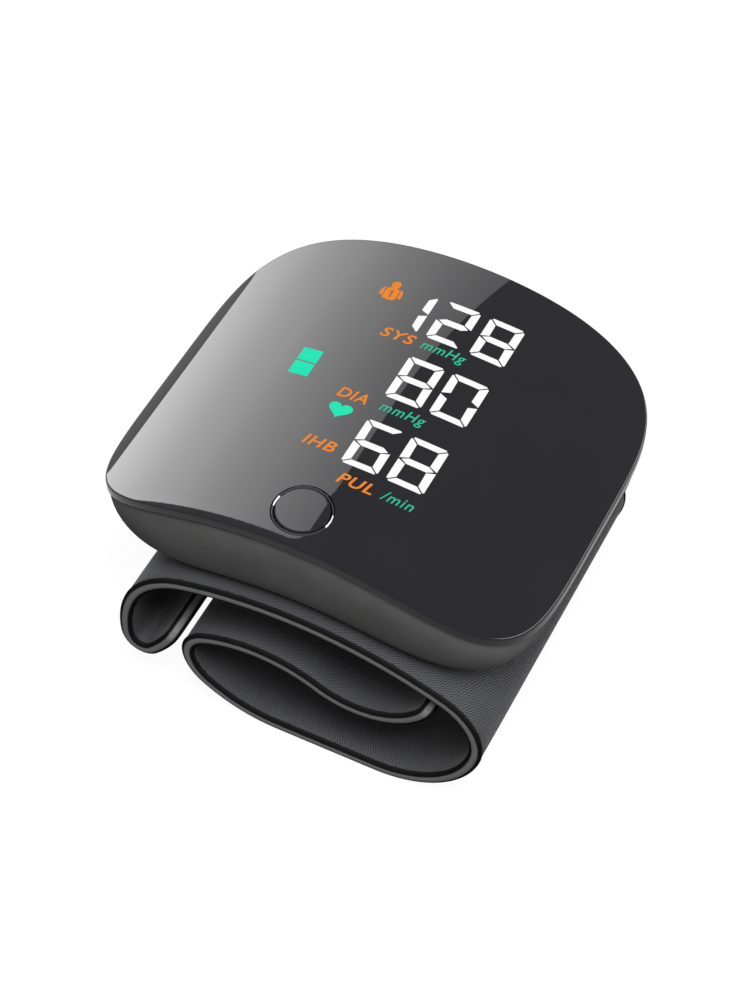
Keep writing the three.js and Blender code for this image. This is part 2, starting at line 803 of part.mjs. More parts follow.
const buzzer = cut(
  rod(BUZZER_RADIUS, buzzerX, BUZZER_Y, partLow, partLow + BUZZER_HEIGHT),
  rod(NIPPLE_RADIUS, buzzerX, BUZZER_Y, partLow + BUZZER_HEIGHT / 2, partLow + BUZZER_HEIGHT + CUT),
);
const sensorEnd = sensorX + SENSOR_SIZE / 2;
const pressureSensor = join(
  roundedBlock(
    SENSOR_SIZE,
    SENSOR_SIZE,
    FIT,
    sensorX,
    SENSOR_Y,
    partLow,
    partLow + SENSOR_HEIGHT,
  ),
  rodX(NIPPLE_RADIUS, sensorX, sensorEnd + NIPPLE_LENGTH / 2, SENSOR_Y, tubeZ),
);
const usbSocket = cut(
  flatRound(SOCKET_WIDTH, SOCKET_HEIGHT, 0, socketZ, socketFront, socketBack),
  flatRound(
    SOCKET_WIDTH - 2 * SOCKET_SHELL,
    SOCKET_HEIGHT - 2 * SOCKET_SHELL,
    0,
    socketZ,
    socketFront + SOCKET_SHELL,
    socketBack + CUT,
  ),
);
const socketTongue = box(
  -SOCKET_WIDTH / 2 + 3 * SOCKET_SHELL,
  SOCKET_WIDTH / 2 - 3 * SOCKET_SHELL,
  socketFront,
  socketBack - SOCKET_SHELL,
  socketZ - SOCKET_SHELL / 2,
  socketZ + SOCKET_SHELL / 2,
);

// Cell with its contact nub and end tabs
const cellBody = turned([
  [0, cellFront],
  [CELL_RADIUS - FIT, cellFront],
  [CELL_RADIUS, cellFront + FIT],
  [CELL_RADIUS, cellBack - FIT],
  [CELL_RADIUS - FIT, cellBack],
  [CELL_NUB_RADIUS, cellBack],
  [CELL_NUB_RADIUS, cellBack + CELL_NUB],
  [0, cellBack + CELL_NUB],
]).translate([-BAY_X, 0, cellZ]);

// Nickel tab from an end of the cell, across to the edge of the main board
function cellTab(face, out) {
  const far = face + out * TAB_THICKNESS;
  const [y0, y1] = [Math.min(face, far), Math.max(face, far)];
  const boardEdge = -MAIN_WIDTH / 2 - FIT;
  return box(-BAY_X - TAB_WIDTH / 2, boardEdge, y0, y1, cellZ - TAB_WIDTH / 2, cellZ + TAB_WIDTH / 2);
}
const frontTab = cellTab(cellFront - FIT, -1);
const backTab = cellTab(cellBack + CELL_NUB + FIT, 1);

// Pump: motor can with its shaft bearing, head with an outlet
const motorEnd = PUMP_START_Y + MOTOR_LENGTH;
const pumpMotor = turned([
  [0, PUMP_START_Y - NIPPLE_LENGTH / 2],
  [NIPPLE_RADIUS * 2, PUMP_START_Y - NIPPLE_LENGTH / 2],
  [NIPPLE_RADIUS * 2, PUMP_START_Y],
  [PUMP_RADIUS - FIT, PUMP_START_Y],
  [PUMP_RADIUS, PUMP_START_Y + FIT],
  [PUMP_RADIUS, motorEnd],
  [0, motorEnd],
]).translate([BAY_X, 0, pumpZ]);
const pumpHead = join(
  roundedBlock(
    HEAD_SIZE,
    HEAD_LENGTH,
    BOARD_CORNER,
    BAY_X,
    (headStart + headEnd) / 2,
    headLow,
    headLow + HEAD_SIZE,
  ),
  rodY(NIPPLE_RADIUS, BAY_X, pumpZ, headEnd - FIT, headEnd + NIPPLE_LENGTH, FINE_ROUND),
);
const manifoldLeft = BAY_X - MANIFOLD_WIDTH / 2;
const airManifold = join(
  roundedBlock(
    MANIFOLD_WIDTH,
    MANIFOLD_LENGTH,
    BOARD_CORNER,
    BAY_X,
    manifoldY,
    manifoldLow,
    manifoldTop,
  ),
  rodX(NIPPLE_RADIUS, manifoldLeft - NIPPLE_LENGTH, BAY_X, nozzleY, tubeZ),
  rodX(NIPPLE_RADIUS, manifoldLeft - NIPPLE_LENGTH, BAY_X, sensorTubeY, tubeZ),
);
const airValve = join(
  roundedBlock(
    VALVE_SIZE,
    VALVE_LENGTH,
    BOARD_CORNER,
    BAY_X,
    (valveStart + valveEnd) / 2,
    valveLow,
    valveLow + VALVE_SIZE,
  ),
  rodY(NIPPLE_RADIUS, BAY_X, pumpZ, valveStart - NIPPLE_LENGTH, valveStart + FIT, FINE_ROUND),
);

// Air nozzle: flange inside the cuff, stem through the underside, barb for the cuff tube
const curlerRise = CUFF_THICKNESS / 2 - SKIN - LAYER_GAP - CURLER_THICKNESS / 2;
const flangeLow = seatZ + curlerRise - CURLER_THICKNESS / 2;
const airNozzle = join(
  rod(NOZZLE_FLANGE, 0, nozzleY, flangeLow, flangeLow + CURLER_THICKNESS),
  rod(NOZZLE_RADIUS, 0, nozzleY, flangeLow, tubeZ + NOZZLE_RADIUS / 2, FINE_ROUND),
  rodX(NIPPLE_RADIUS, 0, NOZZLE_BARB, nozzleY, tubeZ),
);

// Tubes that leave and reach their nipples straight along X
function tube(x0, y0, x1, y1, steps) {
  const shape = new THREE.Shape();
  shape.absarc(0, 0, TUBE_RADIUS, 0, 2 * Math.PI);
  const bore = new THREE.Path();
  bore.absarc(0, 0, TUBE_BORE, 0, 2 * Math.PI);
  shape.holes.push(bore);
  const middle = (x0 + x1) / 2;
  const extrudePath = new THREE.CubicBezierCurve3(
    new THREE.Vector3(x0, y0, tubeZ),
    new THREE.Vector3(middle, y0, tubeZ),
    new THREE.Vector3(middle, y1, tubeZ),
    new THREE.Vector3(x1, y1, tubeZ),
  );
  return solid(new THREE.ExtrudeGeometry(shape, { steps, curveSegments: 5, extrudePath }));
}
const tubeEnd = manifoldLeft - NIPPLE_LENGTH - FIT;
const sensorTubeStart = sensorEnd + NIPPLE_LENGTH / 2 + FIT;
const cuffTube = tube(NOZZLE_BARB + FIT, nozzleY, tubeEnd, nozzleY, 1);
const sensorTube = tube(sensorTubeStart, SENSOR_Y, tubeEnd, sensorTubeY, 10);

// Cuff bracket: arched plate in the underside, with stakes up through it
const bracketPlate = roundedBlock(
  BRACKET_WIDTH,
  BRACKET_LENGTH,
  BRACKET_CORNER,
  0,
  0,
  underZ,
  baseCrestZ + BASE_WALL,
)
  .intersect(underside(BRACKET_THICKNESS))
  .subtract(underside(0));
const stakes = stakePlaces.map(([x, y]) =>
  rod(STAKE_RADIUS, x, y, baseUnder(x) + FIT, floorTop(x) + STAKE_PROUD, FINE_ROUND),
);
const cuffBracket = cut(join(bracketPlate, ...stakes), nozzleHole);

// Sections of the cuff
const loopStart = { x: 0, z: seatZ, heading: 0 };
const tailStart = { x: 0, z: seatZ, heading: Math.PI };
const loopHinge = loopMoves[0].length + bend(CURL_RADIUS, LOOP_HINGE_TURN).length;
const tailHinge = tailMoves[0].length + bend(TAIL_RADIUS, TAIL_HINGE_TURN).length;
const loopEnd = routeLength(loopMoves);
const tailEnd = routeLength(tailMoves);
const onLoop = (from, to) => trail(loopStart, loopMoves, from, to);
const onTail = (from, to) => backwards(trail(tailStart, tailMoves, from, to));
const onBoth = (left, right) => [...onTail(0, left).slice(0, -1), ...onLoop(0, right)];

const half = CUFF_THICKNESS / 2;
const sleeveEdge = CUFF_WIDTH / 2 - BINDING_WIDTH;
const pocketEdge = sleeveEdge - POCKET_MARGIN;
const layerEdge = pocketEdge - LAYER_INSET;
const bladderRise = half - SKIN - 2 * LAYER_GAP - CURLER_THICKNESS - BLADDER_THICKNESS / 2;

function sleeve(places, pocketPlaces) {
  return band(places, -half, half, -sleeveEdge, sleeveEdge).subtract(
    band(pocketPlaces, SKIN - half, half - SKIN, -pocketEdge, pocketEdge),
  );
}

function layer(places, rise, thickness) {
  return band(places, rise - thickness / 2, rise + thickness / 2, -layerEdge, layerEdge);
}

// Edge tape with a rounded outer side
function binding(places, side) {
  const start = sleeveEdge + FIT;
  const middle = CUFF_WIDTH / 2 - half;
  const section = [[-half, side * start]];
  for (let i = 0; i <= EDGE_STEPS; i++) {
    const angle = -Math.PI / 2 + (Math.PI * i) / EDGE_STEPS;
    section.push([half * Math.sin(angle), side * (middle + half * Math.cos(angle))]);
  }
  section.push([half, side * start]);
  return sweep(places, side < 0 ? section.reverse() : section);
}

const centerPlaces = onBoth(tailHinge, loopHinge);
const loopPlaces = onLoop(loopHinge + SPLIT, loopEnd);
const tailPlaces = onTail(tailHinge + SPLIT, tailEnd);
const sleeveCenter = sleeve(centerPlaces, onBoth(tailHinge + CUT, loopHinge + CUT)).subtract(nozzleHole);
const sleeveLoop = sleeve(loopPlaces, onLoop(loopHinge - CUT, loopEnd - POCKET_STOP));
const sleeveTail = sleeve(tailPlaces, onTail(tailHinge - CUT, tailEnd - POCKET_STOP));
const layerStop = POCKET_STOP + LAYER_INSET;
const curlerCenter = layer(
  onBoth(tailHinge - LAYER_INSET, loopHinge - LAYER_INSET),
  curlerRise,
  CURLER_THICKNESS,
).subtract(rod(NOZZLE_FLANGE + FIT, 0, nozzleY, 0, crestZ));
const curlerLoopPlaces = onLoop(loopHinge + SPLIT + LAYER_INSET, loopEnd - layerStop);
const curlerTailPlaces = onTail(tailHinge + SPLIT + LAYER_INSET, tailEnd - layerStop);
const bladderCenter = layer(
  onBoth(tailHinge - LAYER_INSET, loopHinge - LAYER_INSET),
  bladderRise,
  BLADDER_THICKNESS,
);
const patchLow = -half - FIT - PATCH_THICKNESS;
const hookPatch = band(
  onLoop(loopEnd - PATCH_LENGTH, loopEnd - LAYER_INSET),
  patchLow,
  -half - FIT,
  -PATCH_WIDTH / 2,
  PATCH_WIDTH / 2,
);

// Materials
const finish = (color, roughness, metalness = 0) =>
  new THREE.MeshStandardMaterial({ color, roughness, metalness });
const glossBlack = finish(0x0a0a0c, 0.08);
const shellGrey = finish(0x3a3a3a, 0.6);
const blackPlastic = finish(0x141414, 0.5);
const darkChrome = finish(0x5a5a5e, 0.15, 1);
const steel = finish(0x9a9a9a, 0.35, 1);
const boardGreen = finish(0x1e4a2c, 0.5);
const ledWhite = finish(0xd8d8d8, 0.5);
const rubberGrey = finish(0x9c9c98, 0.7);
const cellBlue = finish(0x24406a, 0.4);
const cuffFabric = finish(0x2e2f33, 0.95);
const tapeFabric = finish(0x3c3d40, 0.9);
const springSheet = finish(0xbfc4c4, 0.3);
const bladderFilm = finish(0x6d7a80, 0.5);
const hookBlack = finish(0x101010, 0.9);

// Assembly
const monitor = new THREE.Group();

function add(name, body, material) {
  const mesh = new THREE.Mesh(geometryOf(body), material);
  mesh.name = name;
  monitor.add(mesh);
}

add("top_panel", topPanel, glossBlack);
add("panel_frame", panelFrame, blackPlastic);
add("lower_shell", lowerShell, shellGrey);
screwPlaces.forEach((place, i) => add(`case_screw_${i + 1}`, screw(place), steel));
add("button_ring", buttonRing, darkChrome);
add("button_cap", buttonCap, glossBlack);
add("switch_plunger", switchPlunger, blackPlastic);
add("tact_switch", tactSwitch, steel);
add("main_board", mainBoard, boardGreen);
add("display_board", displayBoard, boardGreen);
["lower", "middle", "upper"].forEach((row, i) =>
  add(`led_digits_${row}`, ledBlock(ledMiddleY + (i - 1) * ledPitch), ledWhite),
);
add("board_header", boardHeader, blackPlastic);
add("controller_chip", chip, blackPlastic);
add("buzzer", buzzer, blackPlastic);
add("pressure_sensor", pressureSensor, ledWhite);
add("usb_socket", join(usbSocket, socketTongue), steel);
add("battery_cell", cellBody, cellBlue);
add("cell_tab_front", frontTab, steel);
add("cell_tab_back", backTab, steel);
add("pump_motor", pumpMotor, steel);
add("pump_head", pumpHead, blackPlastic);
add("air_manifold", airManifold, rubberGrey);
add("air_valve", airValve, steel);
add("cuff_tube", cuffTube, rubberGrey);
add("sensor_tube", sensorTube, rubberGrey);
add("air_nozzle", airNozzle, blackPlastic);
add("cuff_bracket", cuffBracket, blackPlastic);
add("sleeve_center", sleeveCenter, cuffFabric);
add("sleeve_loop", sleeveLoop, cuffFabric);
add("sleeve_tail", sleeveTail, cuffFabric);
add("curler_center", curlerCenter, springSheet);
add("curler_loop", layer(curlerLoopPlaces, curlerRise, CURLER_THICKNESS), springSheet);
add("curler_tail", layer(curlerTailPlaces, curlerRise, CURLER_THICKNESS), springSheet);
add("bladder_center", bladderCenter, bladderFilm);
add("bladder_loop", layer(curlerLoopPlaces, bladderRise, BLADDER_THICKNESS), bladderFilm);
for (const [end, side] of [["front", -1], ["back", 1]]) {
  add(`binding_center_${end}`, binding(centerPlaces, side), tapeFabric);
  add(`binding_loop_${end}`, binding(loopPlaces, side), tapeFabric);
  add(`binding_tail_${end}`, binding(tailPlaces, side), tapeFabric);
}
add("hook_patch", hookPatch, hookBlack);

export default monitor;
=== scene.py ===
# Wrist blood pressure monitor: finishes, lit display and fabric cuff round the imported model.
# Sizes and places are in millimetres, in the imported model's frame. Meshes are built in metres.

import json
from math import asin, atan2, ceil, copysign, cos, exp, hypot, pi, radians, sin, sqrt, tan

import bmesh
import bpy
from mathutils import Matrix, Vector


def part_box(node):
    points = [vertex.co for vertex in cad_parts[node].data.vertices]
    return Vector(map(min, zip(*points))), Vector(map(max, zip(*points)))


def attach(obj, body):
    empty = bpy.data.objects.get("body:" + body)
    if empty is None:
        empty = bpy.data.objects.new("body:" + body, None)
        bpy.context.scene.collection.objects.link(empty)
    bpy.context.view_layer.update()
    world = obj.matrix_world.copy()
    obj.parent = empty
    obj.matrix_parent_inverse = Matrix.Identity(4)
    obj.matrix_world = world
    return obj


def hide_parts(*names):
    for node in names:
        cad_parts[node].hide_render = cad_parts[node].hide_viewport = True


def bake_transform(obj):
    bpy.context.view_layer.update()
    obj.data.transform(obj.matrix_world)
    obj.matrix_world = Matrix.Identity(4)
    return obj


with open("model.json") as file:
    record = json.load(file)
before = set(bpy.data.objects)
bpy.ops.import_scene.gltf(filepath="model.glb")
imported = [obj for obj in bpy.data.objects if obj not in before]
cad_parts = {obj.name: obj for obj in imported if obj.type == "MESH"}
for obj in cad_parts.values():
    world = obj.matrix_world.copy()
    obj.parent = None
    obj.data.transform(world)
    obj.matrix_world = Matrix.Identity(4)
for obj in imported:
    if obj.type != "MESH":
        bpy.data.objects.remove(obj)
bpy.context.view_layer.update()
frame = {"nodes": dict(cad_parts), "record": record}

scene = bpy.context.scene
MM = 0.001  # metres in a millimetre

# Camera
CAMERA_AZIMUTH = 26.57  # degrees
CAMERA_ELEVATION = 50.49
CAMERA_DISTANCE = 401.75  # from the crest of the panel
CAMERA_SIDE = -0.70
CAMERA_RISE = -17.08
CAMERA_LENS = 88.4
SENSOR = 36
CLIP_START = 0.01  # metres

# Case: the solids' own sizes, with a finer edge on the panel and a drawn-in rim
FIT = 0.3
OUTLINE_POWER = 4.9
ARCH_RADIUS = 66
PANEL_THICKNESS = 2
PANEL_BEVEL = 0.2
UNDER_ROUND = 0.35  # lower edge of the panel
CASE_DEPTH = 19
BASE_RADIUS = 72
SHELL_INSET = 0.1
SHELL_TAPER_X = 11
SHELL_TAPER_Y = 4
SHELL_BULGE = 0.85
SHELL_WALL = 1.8
BASE_WALL = 2.8
RIM_DRAW = 0.4  # how far the rim is drawn in under the panel
RIM_SHARE = 0.4  # of the wall's height that this takes
LIP_INSET = 1.0  # of the lip that closes the gap between the rim and the panel
LIP_GAP = 0.03

# Pieces in the underside
BRACKET_THICKNESS = 1.1
BRACKET_CORNER = 4
POST_PLACE = (17.3, 27.4)
SCREW_RADIUS = 1
SCREW_HEAD_RADIUS = 1.9
SCREW_HEAD_HEIGHT = 1.1
STAKE_PLACE = (12, 17)
STAKE_RADIUS = 1.1
NOZZLE_RADIUS = 1.6

# Button
RING_WIDTH = 0.52
RING_SLOPES = (46.5, 43.5)  # degrees, towards the cap and towards the panel
RING_RIDGE = 0.02
RING_PROUD = 0.12
RING_GAP = 0.08  # between the ring and the panel, and between the ring and the cap
CAP_THICKNESS = 1.1
CAP_ROUND = 0.12
STEM_RADIUS = 2.2

# Charging socket
SOCKET_SHELL = 0.35
SOCKET_TONGUE = 0.7

# Cuff strip
CUFF_THICKNESS = 2.4
FABRIC_THICKNESS = 2.15
BEAD_DEPTH = 0.6  # from the edge tape's outermost line to its thickest place
BEAD_THICKNESS = 2.4
SEAM_PLACE = 0.85  # in from the outermost line
SEAM_DIP = 0.2  # how deep the stitching draws the tape in
CORNER_RADIUS = 2.6  # of the tape at the free ends
FABRIC_TUCK = 0.5  # how far the fabric reaches in behind the tape
FABRIC_ROUND = 0.3  # of its edge there
LOOP_BASE_TURN = 23.5
CURL_RADIUS = 10.5
CURL_TURN = 81
LOOP_HINGE_TURN = 62
BELLY_RADIUS = 18.8
REST_LENGTH = 18.7
HEEL = (22.6, -37.4)  # radius and turn in degrees, as in the pairs below
FOLD = (8.2, -49.8)
TURNBACK = (6.2, -67.2)
FLAP = (23.5, -53.9)
FLAP_END = (15.1, 94)
TAIL_BASE_TURN = 16
TAIL_RADIUS = 16.5
TAIL_TURN = 50.8
TAIL_HINGE_TURN = 38
TAIL_SIDE = (22.9, 26)
ROLL_LEAD = (5.5, 22.2)
ROLL = (2.6, 111.9)
ROLL_RISE = (26.9, 19.4)
LOOP_SEAM = 6  # past the loop's hinge, where the middle stretch of fabric ends
TAIL_SEAM = 5  # before the tail's hinge, where the tail's stretch begins
LOOP_BEND = 4.5  # half the length of strip about the loop's hinge; nothing here bends it
TAIL_BEND = 3
PATCH_LENGTH = 14
PATCH_WIDTH = 40
PATCH_THICKNESS = 0.8
PATCH_END = 1  # from the patch to the loop's free end
PATCH_STEPS = 40
TAPE_WIDTH = 1.2
STRIP_STEP = 0.7
FABRIC_STEP = 1.6
PUCKER_DEPTH = 0.05
PUCKER_PITCH = 2.6
PUCKER_REACH = 2.2
PUCKER_SWELL = 7.3  # pitches after which the puckers swell again

# Display
GRAPHIC_PROUD = 0.03
GRAPHIC_SINK = 0.03
GRAPHIC_STEP = 0.8
ROW_LIFT = 0.0033  # rows rise towards their ends, by this times the square of the distance
# Reading, middle of the row, width and height of its digits
ROWS = {
    "upper": ("128", 19.85, 6.2, 9.15),
    "middle": ("80", 5.3, 6.45, 9.75),
    "lower": ("68", -10.33, 6.45, 10.1),
}
DIGIT_PITCH = 7.9
DIGIT_RIGHT = 15.0  # right edge of the last digit
STROKE_ACROSS = 1.4
STROKE_UP = 1.2
DIGIT_CHAMFER = 0.55
SEGMENT_GAP = 0.24
SIDE_CLEAR = 1.3  # from a side bar to the digit's middle, in half gaps
TIP_CLEAR = 2.6  # from the digit's side to the middle bar, in half gaps
TIP_INSET = 0.15  # and beyond that

# Fineness
OUTLINE_STEPS = 320
FACE_STEPS = 40
UNDER_STRIDE = 4  # the panel's underside has fewer steps by this
FACE_HOLD = 0.999  # a last ring near the panel's edge keeps its face's shading even
WALL_STEPS = 24
RIM_STEPS = 10
BEVEL_STEPS = 6
BEAD_STEPS = 12
CORNER_STEPS = 8
ROUND_STEPS = 128
PORT_STEPS = 64
HOLE_STEPS = 32
HEART_STEPS = 64
LETTER_STEPS = 6
MERGE = 1e-4  # points of a flat graphic this near each other are one
SHARP_ANGLE = radians(40)


# Meshes


def corners(node):
    low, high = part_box(node)
    return low / MM, high / MM


def placed(name, data):
    obj = bpy.data.objects.new(name, data)
    scene.collection.objects.link(obj)
    return obj


def build(name, points, faces, material, uvs=None):
    mesh = bpy.data.meshes.new(name)
    mesh.from_pydata([tuple(c * MM for c in p) for p in points], [], faces)
    if uvs:
        layer = mesh.uv_layers.new(name="strip")
        for loop in mesh.loops:
            layer.data[loop.index].uv = uvs[loop.vertex_index]
    mesh.materials.append(material)
    obj = placed(name, mesh)
    soften(obj)
    return obj


def soften(obj):
    mesh = obj.data
    mesh.polygons.foreach_set("use_smooth", [True] * len(mesh.polygons))
    mesh.set_sharp_from_angle(angle=SHARP_ANGLE)


def turns(steps):
    """Angles of a full turn in equal steps."""
    return [2 * pi * i / steps for i in range(steps)]


def quarter_turn(steps):
    return [pi / 2 * i / steps for i in range(steps + 1)]


def evenly(low, high, steps):
    return [low + (high - low) * i / steps for i in range(steps + 1)]


def circle(x, y, radius, steps=HOLE_STEPS):
    return [(x + radius * cos(a), y + radius * sin(a)) for a in turns(steps)]


def loft(rings, joined=False, flip=False):
    """Points and faces of a skin through rings of equally many points. Joined closes the last ring on
    the first; otherwise each end gets one face. Flip turns the faces over."""
    count = len(rings[0])
    points = [p for ring in rings for p in ring]
    last = (len(rings) - 1) * count
    faces = []
    for a in range(0, last + count if joined else last, count):
        b = (a + count) % len(points)
        for i in range(count):
            k = (i + 1) % count
            faces.append((a + i, a + k, b + k, b + i))
    if not joined:
        faces.append(tuple(reversed(range(count))))
        faces.append(tuple(range(last, last + count)))
    return points, [face[::-1] for face in faces] if flip else faces


def zipped(rings):
    """Like loft, with each end zipped from its first and last points on, so that it follows an arch."""
    points, faces = loft(rings)
    count = len(rings[0])
    last = (len(rings) - 1) * count
    faces = faces[:-2]
    for i in range(count // 2 - 1):
        low = (i, count - 1 - i, count - 2 - i, i + 1)
        faces.append(low)
        faces.append(tuple(last + n for n in reversed(low)))
    return points, faces


def final_mesh(obj):
    """Mesh of obj with its modifiers or its fill applied."""
    graph = bpy.context.evaluated_depsgraph_get()
    return bpy.data.meshes.new_from_object(obj.evaluated_get(graph))


def carve(obj, tools):
    """Cuts the tools out of obj and removes them."""
    for tool in tools:
        cut = obj.modifiers.new("cut", "BOOLEAN")
        cut.object = tool
        cut.operation = "DIFFERENCE"
        cut.solver = "EXACT"
    mesh = final_mesh(obj)
    obj.modifiers.clear()
    obj.data = mesh
    soften(obj)
    for tool in tools:
        bpy.data.objects.remove(tool)


# Materials

CLOUD_SIZE = 6
GRAIN_DETAIL = 4.0
GLOSS_SPECULAR = 0.18
GLOSS_CLOUD = 25
GLOSS_SMEAR = 9
FIBRE_SCALE = 6.0
FIBRE_SHARE = 0.35  # of the threads' height
WEAR_SIZE = 14
WEAR_LEVELS = (0.62, 0.92)
WEAVE_ROUGHNESS = (0.95, 0.7)  # between the threads and on top of them
WANDER = 0.06  # how far the shades of the edge tape wander to either side
WANDER_SIZE = 1.2
DIFFUSER_DIM = 0.93
DIFFUSER_CLOUD = 2.5


def feed(owner, made, settings):
    """Sets a node's inputs and properties. Outputs of other nodes are linked. The owner is a material or
    the world."""
    for key, value in settings.items():
        if isinstance(value, bpy.types.NodeSocket):
            owner.node_tree.links.new(value, made.inputs[key])
        elif isinstance(key, int) or key in made.inputs:
            made.inputs[key].default_value = value
        else:
            setattr(made, key, value)


def node(owner, kind, **settings):
    made = owner.node_tree.nodes.new(kind)
    feed(owner, made, settings)
    return made


def new_material(name, levels, kind="ShaderNodeBsdfPrincipled"):
    """Material with one shader, whose inputs have these levels."""
    material = bpy.data.materials.new(name)
    material.use_nodes = True
    material.node_tree.nodes.clear()
    shader = node(material, kind, **levels)
    node(material, "ShaderNodeOutputMaterial", Surface=shader.outputs[0])
    return material, shader


def math_node(owner, operation, *values):
    made = node(owner, "ShaderNodeMath", operation=operation)
    feed(owner, made, dict(enumerate(values)))
    return made.outputs[0]


def wave(material, axis, length):
    return math_node(material, "SINE", math_node(material, "MULTIPLY", axis, 2 * pi / length))


def ramp(material, source, stops):
    """Colour that runs through pairs of place, from 0 to 1, and colour."""
    made = node(material, "ShaderNodeValToRGB", Fac=source)
    elements = made.color_ramp.elements
    while len(elements) < len(stops):
        elements.new(0.5)
    for element, (place, colour) in zip(elements, stops):
        element.position = place
        element.color = (*colour, 1)
    return made.outputs["Color"]


def greys(shades):
    return [(place, (level, level, level)) for place, level in shades]


def spread(material, source, low, high, start=0.0):
    """Carries what runs from start to 1 over to low to high."""
    levels = {"Value": source, "From Min": start, "To Min": low, "To Max": high}
    return node(material, "ShaderNodeMapRange", **levels).outputs["Result"]


def strip_places(material):
    return node(material, "ShaderNodeUVMap", uv_map="strip").outputs["UV"]


def split_axes(material, places):
    split = node(material, "ShaderNodeSeparateXYZ", Vector=places)
    return split.outputs["X"], split.outputs["Y"]


def noise(material, size, detail=2.0):
    """Noise whose grains are about size millimetres across, fixed to the object."""
    place = node(material, "ShaderNodeTexCoord").outputs["Object"]
    made = node(material, "ShaderNodeTexNoise", Vector=place, Scale=1 / (size * MM), Detail=detail)
    return made.outputs["Fac"]


def bumped(material, height, depth):
    made = node(material, "ShaderNodeBump", Strength=1.0, Distance=depth * MM, Height=height)
    return made.outputs["Normal"]


def grained(name, low, high, rough, grain=0.15, depth=0.01, metallic=0.0, specular=0.5):
    """Moulded or metal finish: two close colours mixed by cloudy noise, and a fine grain."""
    material, shader = new_material(name, {"Metallic": metallic, "Specular IOR Level": specular})
    fine = noise(material, grain, GRAIN_DETAIL)
    look = {
        "Base Color": ramp(material, noise(material, CLOUD_SIZE), ((0.35, low), (0.65, high))),
        "Roughness": spread(material, fine, *rough),
        "Normal": bumped(material, fine, depth),
    }
    feed(material, shader, look)
    return material


def glossy(name, low, high, rough):
    """Polished finish: two close colours in wide clouds, and a trace of unevenness."""
    material, shader = new_material(name, {"Specular IOR Level": GLOSS_SPECULAR})
    look = {
        "Base Color": ramp(material, noise(material, GLOSS_CLOUD), ((0.3, low), (0.7, high))),
        "Roughness": spread(material, noise(material, GLOSS_SMEAR), *rough),
    }
    feed(material, shader, look)
    return material


def woven(name, dark, light, pitches, depth, turn=0.0):
    """Weave that follows the strip: threads pass over and under like the squares of a board. Unequal
    pitches and a turn in degrees make a twill."""
    levels = {"Specular IOR Level": 0.08, "Sheen Weight": 0.06, "Sheen Roughness": 0.45}
    material, shader = new_material(name, levels)
    place = strip_places(material)
    angle = radians(turn)
    turned = node(material, "ShaderNodeVectorRotate", rotation_type="Z_AXIS", Vector=place, Angle=angle)
    axes = split_axes(material, turned.outputs["Vector"])
    waves = [wave(material, axis, 2 * pitch) for axis, pitch in zip(axes, pitches)]
    over = spread(material, math_node(material, "MULTIPLY", *waves), 0.0, 1.0, -1.0)
    fibre = node(material, "ShaderNodeTexNoise", Vector=place, Scale=FIBRE_SCALE, Detail=3.0)
    fuzz = math_node(material, "MULTIPLY", fibre.outputs["Fac"], FIBRE_SHARE)
    height = math_node(material, "ADD", over, fuzz)
    wear = spread(material, noise(material, WEAR_SIZE, 3.0), *WEAR_LEVELS)
    worn = math_node(material, "MULTIPLY", height, wear)
    look = {
        "Base Color": ramp(material, worn, ((0.15, dark), (0.95, light))),
        "Roughness": spread(material, height, *WEAVE_ROUGHNESS),
        "Normal": bumped(material, height, depth),
    }
    feed(material, shader, look)
    return material


def piped(name, shades, rib, depth):
    """Edge tape: ribbed satin. Its texture runs along and round it, and the shades are pairs of distance
    from its outermost line and level of grey. These greys are painted light: a painted highlight along
    the front of the bead, and painted shade in dark bands beside it."""
    material, shader = new_material(name, {"Specular IOR Level": 0.0, "Roughness": 0.6})
    along, across = split_axes(material, strip_places(material))
    ribs = spread(material, wave(material, along, rib), 0.0, 1.0, -1.0)
    wander = spread(material, noise(material, WANDER_SIZE, 3.0), -WANDER, WANDER)
    edge = math_node(material, "ADD", math_node(material, "ABSOLUTE", across), wander)
    reach = shades[-1][0]
    place = math_node(material, "DIVIDE", edge, reach)
    look = {
        "Base Color": ramp(material, place, greys((out / reach, level) for out, level in shades)),
        "Normal": bumped(material, ribs, depth),
    }
    feed(material, shader, look)
    return material


def lit(name, colour):
    """Light of the display: almost even, with a faint cloud as of a diffuser."""
    levels = {"Specular IOR Level": 0.0, "Roughness": 0.6, "Emission Strength": 1.0}
    material, shader = new_material(name, {"Base Color": (0.01, 0.01, 0.01, 1), **levels})
    dim = tuple(DIFFUSER_DIM * c for c in colour)
    glow = ramp(material, noise(material, DIFFUSER_CLOUD), ((0.3, dim), (0.6, colour)))
    feed(material, shader, {"Emission Color": glow})
    return material


